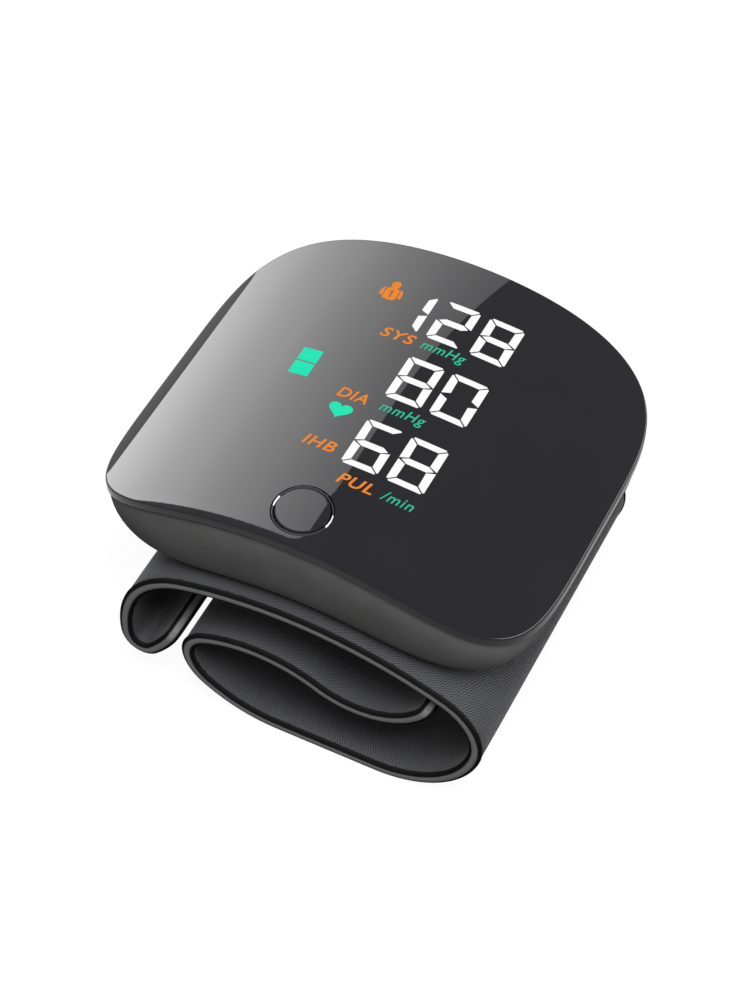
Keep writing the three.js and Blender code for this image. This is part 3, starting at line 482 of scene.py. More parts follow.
# Two close colours and a range of roughness, then what differs: grain, its depth, metal and shine
GRAINED = {
    "shell_grey": ((0.094, 0.094, 0.093), (0.106, 0.106, 0.105), (0.5, 0.65), 0.18, 0.01, 0.0, 0.0),
    "black_plastic": ((0.016, 0.016, 0.016), (0.024, 0.024, 0.024), (0.4, 0.6)),
    "dark_chrome": ((0.048, 0.048, 0.053), (0.058, 0.058, 0.063), (0.06, 0.1), 0.4, 0.0005, 1.0),
    "steel": ((0.48, 0.48, 0.48), (0.56, 0.55, 0.54), (0.25, 0.4), 0.3, 0.004, 1.0),
    "board": ((0.02, 0.1, 0.04), (0.035, 0.14, 0.06), (0.35, 0.5), 0.8, 0.01),
    "led_housing": ((0.66, 0.66, 0.65), (0.74, 0.74, 0.73), (0.4, 0.55)),
    "rubber_grey": ((0.3, 0.3, 0.28), (0.38, 0.38, 0.36), (0.55, 0.75)),
    "cell_wrap": ((0.04, 0.1, 0.25), (0.06, 0.14, 0.31), (0.25, 0.4)),
    "spring_sheet": ((0.55, 0.57, 0.57), (0.64, 0.66, 0.66), (0.2, 0.3)),
    "bladder_film": ((0.17, 0.2, 0.22), (0.23, 0.26, 0.28), (0.3, 0.5)),
}
# Dark and light colour, pitches of the threads, depth and turn
WOVEN = {
    "cuff_fabric": ((0.015, 0.015, 0.016), (0.078, 0.079, 0.084), (0.22, 0.66), 0.05, 40),
    "hook_tape": ((0.003, 0.003, 0.003), (0.02, 0.02, 0.02), (0.9, 0.9), 0.4),
}
GLOSSY = ((0.0045, 0.0045, 0.006), (0.006, 0.006, 0.008), (0.006, 0.014))
# Greys of the edge tape by distance from its outermost line: a painted highlight along the bead's front,
# then painted shade in dark bands towards its seams
TAPE_PAINTED_SHADE = ((0.0, 0.14), (0.4, 0.125), (0.66, 0.006), (1.2, 0.006), (1.6, 0.014))
TAPE_RIB = 0.5
TAPE_RIB_DEPTH = 0.015
FINISHES = {name: grained(name, *look) for name, look in GRAINED.items()}
FINISHES.update((name, woven(name, *look)) for name, look in WOVEN.items())
FINISHES["gloss_black"] = glossy("gloss_black", *GLOSSY)
FINISHES["tape_fabric"] = piped("tape_fabric", TAPE_PAINTED_SHADE, TAPE_RIB, TAPE_RIB_DEPTH)
WHITE_LIGHT = lit("white_light", (1.0, 1.0, 1.0))
ORANGE_LIGHT = lit("orange_light", (0.87, 0.24, 0.012))
TEAL_LIGHT = lit("teal_light", (0.02, 0.52, 0.29))
GREEN_LIGHT = lit("green_light", (0.004, 0.79, 0.46))


# Shape of the case

panel_high = corners("top_panel")[1]
half_width = panel_high.x
half_length = panel_high.y
crest = panel_high.z
base_crest = crest - CASE_DEPTH
ring_low, ring_high = corners("button_ring")
button_x = (ring_low.x + ring_high.x) / 2
button_y = (ring_low.y + ring_high.y) / 2
ring_radius = (ring_high.x - ring_low.x) / 2


def arch_drop(x, radius):
    return radius - sqrt(radius * radius - x * x)


def panel_top(x):
    return crest - arch_drop(x, ARCH_RADIUS)


def rim_top(x):
    return panel_top(x) - PANEL_THICKNESS - FIT


def base_under(x):
    return base_crest - arch_drop(x, BASE_RADIUS)


def outline(inset_x, inset_y=None):
    """Rounded square of the case, drawn in by the insets."""
    a = half_width - inset_x
    b = half_length - (inset_x if inset_y is None else inset_y)
    points = []
    for angle in turns(OUTLINE_STEPS):
        across = abs(cos(angle) / a) ** OUTLINE_POWER
        along = abs(sin(angle) / b) ** OUTLINE_POWER
        reach = (across + along) ** (-1 / OUTLINE_POWER)
        points.append((reach * cos(angle), reach * sin(angle)))
    return points


def make_panel():
    """Arched plate with a rounded upper edge and a hole for the button's ring."""
    edge = outline(0)
    hole = []
    for x, y in edge:
        angle = atan2(y - button_y, x - button_x)
        reach = ring_radius + RING_GAP
        hole.append((button_x + reach * cos(angle), button_y + reach * sin(angle)))
    face = outline(PANEL_BEVEL)

    def between(share):
        return [(a + share * (c - a), b + share * (d - b)) for (a, b), (c, d) in zip(hole, face)]

    def at(points, drop):
        return [(x, y, panel_top(x) - drop) for x, y in points]

    shares = evenly(0, 1, FACE_STEPS)[:-1] + [FACE_HOLD, 1]
    rings = [at(between(share), 0) for share in shares]
    for angle in quarter_turn(BEVEL_STEPS)[1:]:
        inset = PANEL_BEVEL * (1 - sin(angle))
        rings.append(at(outline(inset), PANEL_BEVEL * (1 - cos(angle))))
    under = PANEL_THICKNESS
    rings.append(at(edge, under - UNDER_ROUND))
    rings.append(at(outline(UNDER_ROUND), under))
    for i in range(FACE_STEPS, -1, -UNDER_STRIDE):
        rings.append(at(between(i / FACE_STEPS), under))
    panel = build("panel_glass", *loft(rings, joined=True, flip=True), FINISHES["gloss_black"])
    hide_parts("top_panel")
    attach(panel, "case")


def bowl(inset, bottom, rim_draw=0.0):
    """Rings of a bowl's wall from its rim, which is drawn in, down to its base."""
    start = asin(RIM_SHARE)
    falls = [RIM_SHARE * (1 - cos(a)) for a in quarter_turn(RIM_STEPS)[:-1]]
    falls += [sin(a) for a in evenly(start, pi / 2, WALL_STEPS)]
    rings = []
    for fall in falls:
        near = max(0.0, 1 - fall / RIM_SHARE)
        edge = inset + rim_draw * (1 - sqrt(1 - near * near))
        drawn = SHELL_BULGE * (1 - sqrt(1 - fall * fall)) + (1 - SHELL_BULGE) * fall
        points = outline(edge + SHELL_TAPER_X * drawn, edge + SHELL_TAPER_Y * drawn)
        rims = [rim_top(x) for x, _ in outline(edge)]
        rings.append([(x, y, (1 - fall) * top + fall * bottom(x)) for (x, y), top in zip(points, rims)])
    return rings


def tray(ring, height):
    """Rings that close a bowl's base towards its middle, following the arch."""
    shares = [1 - i / FACE_STEPS for i in range(1, FACE_STEPS)]
    return [[(x * s, y * s, height(x * s)) for x, y, _ in ring] for s in shares]


def rod(x, y, radius, low, high):
    """Tool that cuts a round hole."""
    rings = [[(*p, z) for p in circle(x, y, radius)] for z in (low, high)]
    return build("tool", *loft(rings), FINISHES["black_plastic"])


def flat_round(width, height):
    """Stadium outline in X and Z round the origin."""
    radius = height / 2
    points = []
    for turn in turns(PORT_STEPS):
        angle = turn - pi / 2
        middle = (width / 2 - radius) * (1 if turn < pi else -1)
        points.append((middle + radius * cos(angle), radius * sin(angle)))
    return points


def rounded_rectangle(width, length, corner):
    """Outline that starts above the X axis, on the +X side, and ends at its mirror image below."""
    points = []
    for quarter, (sx, sy) in enumerate(((1, 1), (-1, 1), (-1, -1), (1, -1))):
        for i in range(CORNER_STEPS + 1):
            angle = pi / 2 * (quarter + i / CORNER_STEPS)
            x = sx * (width / 2 - corner) + corner * cos(angle)
            y = sy * (length / 2 - corner) + corner * sin(angle)
            points.append((x, y))
    return points


def make_shell():
    """Bowl with its cavity, the holes in its underside and the charging port in its back wall."""

    def floor(x):
        return base_under(x) + BASE_WALL

    outer = bowl(SHELL_INSET, base_under, RIM_DRAW)
    inner = bowl(SHELL_INSET + SHELL_WALL, floor)
    lip = [(SHELL_INSET + SHELL_WALL, FIT - LIP_GAP), (LIP_INSET, FIT - LIP_GAP), (LIP_INSET, 0)]
    lips = [[(x, y, rim_top(x) + rise) for x, y in outline(inset)] for inset, rise in lip]
    rings = tray(inner[-1], floor)[::-1] + inner[::-1] + lips + outer + tray(outer[-1], base_under)
    shell = build("case_shell", *loft(rings, flip=True), FINISHES["shell_grey"])

    under = base_crest - CASE_DEPTH
    above = base_crest + CASE_DEPTH / 2
    bracket_low, bracket_high = corners("cuff_bracket")
    ring = rounded_rectangle(
        bracket_high.x - bracket_low.x + 2 * FIT,
        bracket_high.y - bracket_low.y + 2 * FIT,
        BRACKET_CORNER + FIT,
    )
    ceiling = BRACKET_THICKNESS + FIT
    recess = [[(x, y, under) for x, y in ring], [(x, y, base_under(x) + ceiling) for x, y in ring]]
    tools = [build("tool", *zipped(recess), FINISHES["shell_grey"])]
    for sx in (-1, 1):
        for sy in (-1, 1):
            x, y = sx * POST_PLACE[0], sy * POST_PLACE[1]
            seat = base_under(x) + SCREW_HEAD_HEIGHT + 2 * FIT
            tools.append(rod(x, y, SCREW_RADIUS + FIT, under, above))
            tools.append(rod(x, y, SCREW_HEAD_RADIUS + FIT, under, seat))
            x, y = sx * STAKE_PLACE[0], sy * STAKE_PLACE[1]
            tools.append(rod(x, y, STAKE_RADIUS + FIT, under, above))
    nozzle_low, nozzle_high = corners("air_nozzle")
    nozzle_y = (nozzle_low.y + nozzle_high.y) / 2
    tools.append(rod(0, nozzle_y, NOZZLE_RADIUS + FIT, under, above))
    low, high = corners("usb_socket")
    port = flat_round(high.x - low.x + 2 * FIT, high.z - low.z + 2 * FIT)
    middle = (low.z + high.z) / 2
    port_rings = [[(x, y, middle + z) for x, z in port] for y in (half_length + 1, low.y)]
    tools.append(build("tool", *loft(port_rings), FINISHES["shell_grey"]))
    carve(shell, tools)
    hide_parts("lower_shell")
    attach(shell, "case")


def turned_on_panel(name, profile, material, joined):
    """Body turned round the button's axis. The profile holds pairs of radius and height under the
    panel's face, which the face's arch carries along."""
    rings = []
    for radius, drop in profile:
        ring = circle(0, 0, radius, ROUND_STEPS)
        rings.append([(button_x + x, button_y + y, panel_top(x) - drop) for x, y in ring])
    return build(name, *loft(rings, joined), material)


def make_button():
    inside = ring_radius - RING_WIDTH
    low = PANEL_THICKNESS
    slope = (RING_WIDTH - RING_RIDGE) / 2
    inner, outer = (slope * tan(radians(a)) for a in RING_SLOPES)
    top = -RING_PROUD
    profile = [(inside, low), (ring_radius, low), (ring_radius, top + outer), (ring_radius - slope, top)]
    profile += [(inside + slope, top), (inside, top + inner)]
    ring = turned_on_panel("button_trim", profile, FINISHES["dark_chrome"], True)
    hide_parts("button_ring")
    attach(ring, "case")

    cap_radius = inside - RING_GAP
    stem = crest - corners("button_cap")[0].z
    profile = [(STEM_RADIUS / 2, stem), (STEM_RADIUS, stem), (STEM_RADIUS, CAP_THICKNESS)]
    profile += [(cap_radius, CAP_THICKNESS)]
    flat = cap_radius - CAP_ROUND
    for angle in quarter_turn(BEVEL_STEPS):
        profile.append((flat + CAP_ROUND * cos(angle), CAP_ROUND - CAP_ROUND * sin(angle)))
    steps = FACE_STEPS // 2
    profile += [(flat * (1 - i / steps), 0) for i in range(1, steps)]
    cap = turned_on_panel("button_face", profile, FINISHES["gloss_black"], False)
    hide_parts("button_cap")
    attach(cap, "button")


def make_socket():
    """Charging socket: a flat-round metal sleeve with a contact tongue inside."""
    low, high = corners("usb_socket")
    middle = (low.z + high.z) / 2
    width, height = high.x - low.x, high.z - low.z

    def ring(inset, y):
        return [(x, y, middle + z) for x, z in flat_round(width - 2 * inset, height - 2 * inset)]

    lip = SOCKET_SHELL / 3
    rings = [ring(0, low.y), ring(0, high.y - lip), ring(lip, high.y), ring(2 * lip, high.y)]
    rings += [ring(SOCKET_SHELL, high.y - lip), ring(SOCKET_SHELL, low.y + SOCKET_SHELL)]
    sleeve = build("charging_socket", *loft(rings, flip=True), FINISHES["steel"])
    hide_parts("usb_socket")
    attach(sleeve, "case")
    core = (height - SOCKET_TONGUE) / 2
    rings = [ring(core, low.y + SOCKET_SHELL), ring(core, high.y - 2 * lip)]
    rings += [ring(core + lip / 2, high.y - lip)]
    tongue = build("socket_tongue", *loft(rings, flip=True), FINISHES["black_plastic"])
    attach(tongue, "case")


# Cuff strip: places along its route in the XZ plane

tape_front = corners("binding_loop_front")[0].y
tape_back = corners("binding_loop_back")[1].y
cuff_y = (tape_front + tape_back) / 2
cuff_half = (tape_back - tape_front) / 2
seat_radius = BASE_RADIUS - FIT - CUFF_THICKNESS / 2
seat_z = base_crest - FIT - CUFF_THICKNESS / 2
LOOP_MOVES = (
    (seat_radius, -LOOP_BASE_TURN),
    (CURL_RADIUS, -CURL_TURN),
    (BELLY_RADIUS, LOOP_BASE_TURN + CURL_TURN - 180),
    (REST_LENGTH, 0),
    HEEL,
    FOLD,
    TURNBACK,
    FLAP,
    FLAP_END,
)
TAIL_MOVES = (
    (seat_radius, TAIL_BASE_TURN),
    (TAIL_RADIUS, TAIL_TURN),
    TAIL_SIDE,
    ROLL_LEAD,
    ROLL,
    ROLL_RISE,
)


def move_length(size, turn):
    return size * abs(radians(turn)) if turn else size


def place_at(moves, heading, distance):
    """X, Z and heading at a distance along the moves from the middle of the underside."""
    x, z, left = 0.0, seat_z, distance
    for size, turn in moves:
        length = move_length(size, turn)
        share = min(1.0, left / length)
        if turn:
            after = heading + radians(turn) * share
            radius = copysign(size, turn)
            x += radius * (sin(after) - sin(heading))
            z -= radius * (cos(after) - cos(heading))
            heading = after
        else:
            x += size * share * cos(heading)
            z += size * share * sin(heading)
        left -= length
        if left <= 0:
            break
    return x, z, heading


def strip_place(s):
    """Place along the whole strip: the loop's side is positive, the tail's is negative."""
    if s >= 0:
        return place_at(LOOP_MOVES, 0.0, s)
    x, z, heading = place_at(TAIL_MOVES, pi, -s)
    return x, z, heading - pi


loop_hinge = move_length(*LOOP_MOVES[0]) + move_length(CURL_RADIUS, LOOP_HINGE_TURN)
tail_hinge = -move_length(*TAIL_MOVES[0]) - move_length(TAIL_RADIUS, TAIL_HINGE_TURN)
loop_end = sum(move_length(*move) for move in LOOP_MOVES)
tail_end = -sum(move_length(*move) for move in TAIL_MOVES)
loop_seam = loop_hinge + LOOP_SEAM
tail_seam = tail_hinge + TAIL_SEAM
STRETCHES = {
    "center": (tail_seam, loop_seam, False, False),
    "loop": (loop_seam, loop_end, False, True),
    "tail": (tail_end, tail_seam, True, False),
}


def stations(start, end, round_start, round_end, thickness):
    """Pairs of distance along the strip and of share of the section's thickness. A free end is rounded
    like a folded hem."""
    hem = thickness / 2
    first = start + (hem if round_start else 0)
    last = end - (hem if round_end else 0)
    steps = max(2, round((last - first) / STRIP_STEP))
    made = [(s, 1.0) for s in evenly(first, last, steps)]
    quarter = quarter_turn(BEVEL_STEPS)[1:-1]
    if round_start:
        made = [(first - hem * sin(a), cos(a)) for a in reversed(quarter)] + made
    if round_end:
        made += [(last + hem * sin(a), cos(a)) for a in quarter]
    return made


def swept(name, section, places, material):
    """Sweeps a section along stations. The section holds rise off the strip's middle, place across and
    the texture's place across."""
    rings, uvs = [], []
    for s, share in places:
        x, z, heading = strip_place(s)
        ring = []
        for rise, across, mark in section(s):
            lift = rise * share
            ring.append((x - lift * sin(heading), cuff_y + across, z + lift * cos(heading)))
            uvs.append((s, mark))
        rings.append(ring)
    return build(name, *loft(rings, flip=True), material, uvs)


def fabric_section(s):
    """Flat strip with rounded edges, drawn in a little along the tape's seam."""
    half = FABRIC_THICKNESS / 2
    reach = cuff_half - TAPE_WIDTH + FABRIC_TUCK
    flat = reach - FABRIC_ROUND
    across = evenly(-flat, flat, round(2 * flat / FABRIC_STEP))
    edge = [pi * i / BEVEL_STEPS for i in range(1, BEVEL_STEPS)]
    swell = cos(2 * pi * s / (PUCKER_SWELL * PUCKER_PITCH))
    pucker = sin(2 * pi * s / PUCKER_PITCH) * swell

    def face(y, side):
        near = exp(-(reach - abs(y)) / PUCKER_REACH)
        return side * (half - PUCKER_DEPTH * near * (1 + pucker))

    section = [(face(y, 1), y, y) for y in across]
    section += [(half * cos(a), flat + FABRIC_ROUND * sin(a), flat + a) for a in edge]
    section += [(face(y, -1), y, y) for y in reversed(across)]
    section += [(-half * cos(a), -flat - FABRIC_ROUND * sin(a), -flat - a) for a in edge]
    return section


def tape_profile():
    """Half-round bead that falls to the seam behind it: depth from the outermost line, rise and the
    distance round the bead, from the upper seam to the lower one."""
    top = BEAD_THICKNESS / 2
    upper = []
    for angle in quarter_turn(BEAD_STEPS):
        upper.append((BEAD_DEPTH * (1 - cos(angle)), top * sin(angle)))
    for share in evenly(0, 1, BEVEL_STEPS)[1:]:
        fall = SEAM_DIP * (1 - cos(pi * share)) / 2
        upper.append((BEAD_DEPTH + (SEAM_PLACE - BEAD_DEPTH) * share, top - fall))
    upper.append((TAPE_WIDTH, top - SEAM_DIP))
    marks = [0.0]
    for (a, b), (c, d) in zip(upper, upper[1:]):
        marks.append(marks[-1] + hypot(c - a, d - b))
    half = [(depth, rise, mark) for (depth, rise), mark in zip(upper, marks)]
    return half[::-1] + [(depth, -rise, -mark) for depth, rise, mark in half[1:]]


def straight_run(start, end, side):
    """Places along one edge: distance along the strip, place across and the way out of the strip."""
    steps = max(2, round(abs(end - start) / STRIP_STEP))
    return [(s, side * cuff_half, 0.0, side) for s in evenly(start, end, steps)]


def edge_run(seam, end):
    """Places along the front edge to a free end, round its corners and back along the back edge."""
    out = 1 if end > seam else -1
    last = end - out * CORNER_RADIUS
    inner = cuff_half - CORNER_RADIUS
    corner = quarter_turn(CORNER_STEPS)[1:-1]

    def turn(reach, side, middle):
        return last + out * CORNER_RADIUS * reach, middle + side * CORNER_RADIUS, out * reach, side

    run = straight_run(seam, last, -1)
    run += [turn(sin(a), -cos(a), -inner) for a in corner]
    run += [(end, y, out, 0.0) for y in evenly(-inner, inner, round(2 * inner / FABRIC_STEP))]
    run += [turn(cos(a), sin(a), inner) for a in corner]
    return run + straight_run(last, seam, 1)


def taped(name, run, flip):
    """Sweeps the edge tape along a run on the strip."""
    rings, uvs = [], []
    gone = 0.0
    for k, (s, y, out_s, out_y) in enumerate(run):
        if k:
            gone += hypot(s - run[k - 1][0], y - run[k - 1][1])
        ring = []
        for depth, rise, mark in tape_profile():
            x, z, heading = strip_place(s - depth * out_s)
            across = cuff_y + y - depth * out_y
            ring.append((x - rise * sin(heading), across, z + rise * cos(heading)))
            uvs.append((gone, mark))
        rings.append(ring)
    return build(name, *loft(rings, flip=flip), FINISHES["tape_fabric"], uvs)


def bend_with(piece, stretch):
    """Ties the loop's stretch of the cuff to its body; any other stretch only has its placing baked into
    its mesh.
    """
    if stretch == "loop":
        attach(piece, "cuff_loop")
        return
    hinge, bend, body = loop_hinge, LOOP_BEND, "cuff_loop"
    if stretch == "tail":
        hinge, bend, body = tail_hinge, TAIL_BEND, "cuff_tail"
    x, z, _ = strip_place(hinge)
    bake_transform(piece)


def make_cuff():
    layers = {
        "center": ("sleeve_center", "curler_center", "bladder_center"),
        "loop": ("sleeve_loop", "curler_loop", "bladder_loop"),
        "tail": ("sleeve_tail", "curler_tail"),
    }
    hidden = TAPE_WIDTH - FABRIC_TUCK
    runs = {
        "cuff_edge_center_front": ("center", straight_run(tail_seam, loop_seam, -1), ("front",)),
        "cuff_edge_center_back": ("center", straight_run(loop_seam, tail_seam, 1), ("back",)),
        "cuff_edge_loop": ("loop", edge_run(loop_seam, loop_end), ("front", "back")),
        "cuff_edge_tail": ("tail", edge_run(tail_seam, tail_end), ("front", "back")),
    }
    tapes = {stretch: [] for stretch in STRETCHES}
    for name, (stretch, run, edges) in runs.items():
        tape = taped(name, run, stretch == "tail")
        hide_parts(*(f"binding_{stretch}_{edge}" for edge in edges))
        bend_with(tape, stretch)
        tapes[stretch].append(tape)
    for stretch, (start, end, round_start, round_end) in STRETCHES.items():
        first = start + (hidden if round_start else 0)
        last = end - (hidden if round_end else 0)
        places = stations(first, last, round_start, round_end, FABRIC_THICKNESS)
        sleeve = swept(f"cuff_fabric_{stretch}", fabric_section, places, FINISHES["cuff_fabric"])
        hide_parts(*layers[stretch])
        bend_with(sleeve, stretch)


def make_patch():
    """Hook tape on the inner end of the loop."""
    low = -CUFF_THICKNESS / 2 - PATCH_THICKNESS
    high = -FABRIC_THICKNESS / 2
    across = evenly(-PATCH_WIDTH / 2, PATCH_WIDTH / 2, PATCH_STEPS)
    section = [(high, y, y) for y in across] + [(low, y, y) for y in reversed(across)]
    places = stations(loop_end - PATCH_LENGTH, loop_end - PATCH_END, False, False, 0)
    patch = swept("hook_tape_patch", lambda s: section, places, FINISHES["hook_tape"])
    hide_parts("hook_patch")
    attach(patch, "cuff_loop")


# Display graphics


def plate(name, mesh, material):
    """Thin plate from flat faces in millimetres, laid on the arch of the panel."""
    shape = bmesh.new()
    shape.from_mesh(mesh)
    bmesh.ops.remove_doubles(shape, verts=shape.verts, dist=MERGE)
    low = min(v.co.x for v in shape.verts)
    high = max(v.co.x for v in shape.verts)
    for i in range(1, ceil((high - low) / GRAPHIC_STEP)):
        everything = shape.verts[:] + shape.edges[:] + shape.faces[:]
        place = (low + i * GRAPHIC_STEP, 0, 0)
        bmesh.ops.bisect_plane(shape, geom=everything, plane_co=place, plane_no=(1, 0, 0))
    made = bmesh.ops.extrude_face_region(shape, geom=shape.faces[:], use_keep_orig=True)
    upper = {v for v in made["geom"] if isinstance(v, bmesh.types.BMVert)}
    for v in shape.verts:
        x, y = v.co.x, v.co.y
        level = GRAPHIC_PROUD if v in upper else -GRAPHIC_SINK
        v.co = Vector((x, y + ROW_LIFT * x * x, panel_top(x) + level)) * MM
    bmesh.ops.recalc_face_normals(shape, faces=shape.faces)
    if shape.calc_volume(signed=True) < 0:
        bmesh.ops.reverse_faces(shape, faces=shape.faces)
    flat = bpy.data.meshes.new(name)
    shape.to_mesh(flat)
    shape.free()
    flat.materials.append(material)
    piece = placed(name, flat)
    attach(piece, "case")


def flat_mesh(curve):
    """Flat faces of a filled curve or text."""
    obj = placed("graphic", curve)
    bpy.context.view_layer.update()
    mesh = final_mesh(obj)
    bpy.data.objects.remove(obj)
    return mesh


def filled(outlines):
    """Flat faces inside closed outlines; an outline inside another one is a hole."""
    curve = bpy.data.curves.new("graphic", "CURVE")
    curve.dimensions = "2D"
    curve.fill_mode = "BOTH"
    for points in outlines:
        spline = curve.splines.new("POLY")
        spline.points.add(len(points) - 1)
        for target, (x, y) in zip(spline.points, points):
            target.co = (x, y, 0, 1)
        spline.use_cyclic_u = True
    return flat_mesh(curve)


def segments(left, low, w, h):
    """Outlines of a digit's seven bars, from the digit's lower left corner, width and height."""
    a, u, c = STROKE_ACROSS, STROKE_UP, DIGIT_CHAMFER
    gap = SEGMENT_GAP / 2
    middle = h / 2
    corner = Vector((c / 2, h - c / 2))
    inner = Vector((a, h - u))
    along = (inner - corner).normalized()
    aside = Vector((-along.y, along.x)) * gap
    top = [(c, h), tuple(corner + aside), tuple(inner + aside)]
    top += [(w - x, y) for x, y in reversed(top)]
    side = [(0, h - c), tuple(corner - aside), tuple(inner - aside)]
    side += [(a, middle + u / 2 + SIDE_CLEAR * gap), (0, middle + SIDE_CLEAR * gap)]
    tip = TIP_CLEAR * gap + TIP_INSET
    bar = [(tip, middle), (a + gap, middle + u / 2), (w - a - gap, middle + u / 2)]
    bar += [(w - x, h - y) for x, y in bar]

    def flip(points, across, over):
        return [(w - x if across else x, h - y if over else y) for x, y in points]

    bars = {
        "top": top,
        "bottom": flip(top, False, True),
        "middle": bar,
        "upper_left": side,
        "lower_left": flip(side, False, True),
        "upper_right": flip(side, True, False),
        "lower_right": flip(side, True, True),
    }
    return {name: [(left + x, low + y) for x, y in points] for name, points in bars.items()}


RIGHT_BARS = ("upper_right", "lower_right")
ALL_BARS = ("top", "bottom", "middle", "upper_left", "lower_left", *RIGHT_BARS)
DIGIT_BARS = {
    "0": tuple(b for b in ALL_BARS if b != "middle"),
    "1": RIGHT_BARS,
    "2": ("top", "upper_right", "middle", "lower_left", "bottom"),
    "6": tuple(b for b in ALL_BARS if b != "upper_right"),
    "8": ALL_BARS,
}


def make_digits():
    for row, (reading, middle, width, height) in ROWS.items():
        outlines = []
        for place, digit in enumerate(reversed(reading)):
            left = DIGIT_RIGHT - width - place * DIGIT_PITCH
            bars = segments(left, middle - height / 2, width, height)
            outlines += [bars[name] for name in DIGIT_BARS[digit]]
        plate(f"digits_{row}", filled(outlines), WHITE_LIGHT)


# Height of capitals, thickening and light
LETTERS = {"legend": (2.1, 0.014, ORANGE_LIGHT), "unit": (1.95, 0.004, TEAL_LIGHT)}
# Words, left end, base line and length
LEGENDS = {
    "legend_upper": ("SYS", -6.3, 12.45, 6.2),
    "legend_middle": ("DIA", -6.6, -2.85, 5.4),
    "legend_beat": ("IHB", -7.0, -14.4, 5.8),
    "legend_lower": ("PUL", 1.85, -19.4, 6.2),
    "unit_upper": ("mmHg", 1.2, 12.65, 7.9),
    "unit_middle": ("mmHg", 1.2, -2.7, 7.9),
    "unit_lower": ("/min", 9.5, -19.3, 5.4),
}
CAPITAL_HEIGHT = 0.69  # of the built-in letters, as a share of their size
LETTER_SLANT = 0.22
LETTER_SPACE = 1.12


def make_legends():
    for name, (words, left, base, length) in LEGENDS.items():
        height, thicker, light = LETTERS[name.split("_")[0]]
        text = bpy.data.curves.new("words", "FONT")
        text.body = words
        text.size = height / CAPITAL_HEIGHT
        text.shear = LETTER_SLANT
        text.offset = thicker * text.size
        text.space_character = LETTER_SPACE
        text.resolution_u = LETTER_STEPS
        mesh = flat_mesh(text)
        first = min(v.co.x for v in mesh.vertices)
        last = max(v.co.x for v in mesh.vertices)
        for v in mesh.vertices:
            v.co.x = left + (v.co.x - first) * length / (last - first)
            v.co.y += base
        plate(name, mesh, light)


HEART_PLACE = (-4.45, -5.55)
HEART_SIZE = (4.2, 3.3)
HEART_RISE = 29  # height of the curve that draws it
BATTERY_LEFT = -16.9
BATTERY_SIZE = (3.75, 2.9)
BATTERY_LEVELS = (-1.1, 2.15)
USER_PLACE = (-8.85, 20.45)
USER_HEAD = (0.0, 3.75, 0.82)  # place over the user's foot, and radius
USER_BODY = (
    (-0.6, 0), (-1.25, 0.3), (-1.25, 2.4), (-0.65, 3.0), (0.65, 3.0), (1.25, 2.4), (1.25, 0.3), (0.6, 0)
)
USER_ONE = ((-0.15, 0.6), (-0.15, 1.85), (-0.4, 1.65), (-0.4, 2.0), (0.0, 2.35), (0.2, 2.35), (0.2, 0.6))
USER_ARM = ((1.45, 0.75), (1.5, 2.3), (1.15, 2.85), (1.75, 2.65), (2.05, 2.1), (2.05, 0.75))


def make_icons():
    heart = []
    x0, y0 = HEART_PLACE
    width, height = HEART_SIZE
    for t in turns(HEART_STEPS):
        x = sin(t) ** 3
        y = 13 * cos(t) - 5 * cos(2 * t) - 2 * cos(3 * t) - cos(4 * t)
        heart.append((x0 + x * width / 2, y0 + y * height / HEART_RISE))
    plate("icon_heart", filled([heart]), GREEN_LIGHT)
    width, height = BATTERY_SIZE
    right = BATTERY_LEFT + width
    blocks = [
        [(BATTERY_LEFT, y), (right, y), (right, y + height), (BATTERY_LEFT, y + height)]
        for y in BATTERY_LEVELS
    ]
    plate("icon_battery", filled(blocks), GREEN_LIGHT)
    x0, y0 = USER_PLACE
    outlines = [circle(x0 + USER_HEAD[0], y0 + USER_HEAD[1], USER_HEAD[2])]
    for shape in (USER_BODY, USER_ONE, USER_ARM, tuple((-x, y) for x, y in USER_ARM)):
        outlines.append([(x0 + x, y0 + y) for x, y in shape])
    plate("icon_user", filled(outlines), ORANGE_LIGHT)


# Finishes of the solids that stay


def dress_solids():
    for part in frame["record"]["subparts"]:
        solid = frame["nodes"][part["node"]]
        solid.data.materials.clear()
        solid.data.materials.append(FINISHES[part["material_slot"]])


# Studio

azimuth = radians(CAMERA_AZIMUTH)
elevation = radians(CAMERA_ELEVATION)
flat = cos(elevation)
view_back = Vector((sin(azimuth) * flat, -cos(azimuth) * flat, sin(elevation)))
view_right = Vector((cos(azimuth), sin(azimuth), 0))
view_up = view_back.cross(view_right)
eye = Vector((0, 0, crest)) + view_back * CAMERA_DISTANCE
eye += view_right * CAMERA_SIDE + view_up * CAMERA_RISE


def make_camera():
    data = bpy.data.cameras.new("camera")
    data.lens = CAMERA_LENS
    data.sensor_width = SENSOR
    data.clip_start = CLIP_START
    camera = placed("camera", data)
    turn = Matrix((view_right, view_up, view_back)).transposed()
    camera.matrix_world = Matrix.Translation(eye * MM) @ turn.to_4x4()
    scene.camera = camera


FLOOR_REACH = 4000
AMBIENT = 0.12
FLOOR_WHITE = 0.06
FLOOR_GLOW = 0.93  # only what the camera and reflections see
LAMP_SIZE = 420
# Name, place and power in watts
LAMPS = (
    ("lamp_top", (220, -250, 930), 15.0),
    ("lamp_front", (0, -860, 400), 2.2),
    ("lamp_right", (850, 60, 420), 4.0),
    ("lamp_left", (-700, -100, 620), 2.5),
)


def seen_rays(owner):
    """1 for rays from the camera, in reflections and through glass, 0 for light that falls on things."""
    path = node(owner, "ShaderNodeLightPath").outputs
    seen = math_node(owner, "MAXIMUM", path["Is Camera Ray"], path["Is Glossy Ray"])
    return math_node(owner, "MAXIMUM", seen, path["Is Transmission Ray"])


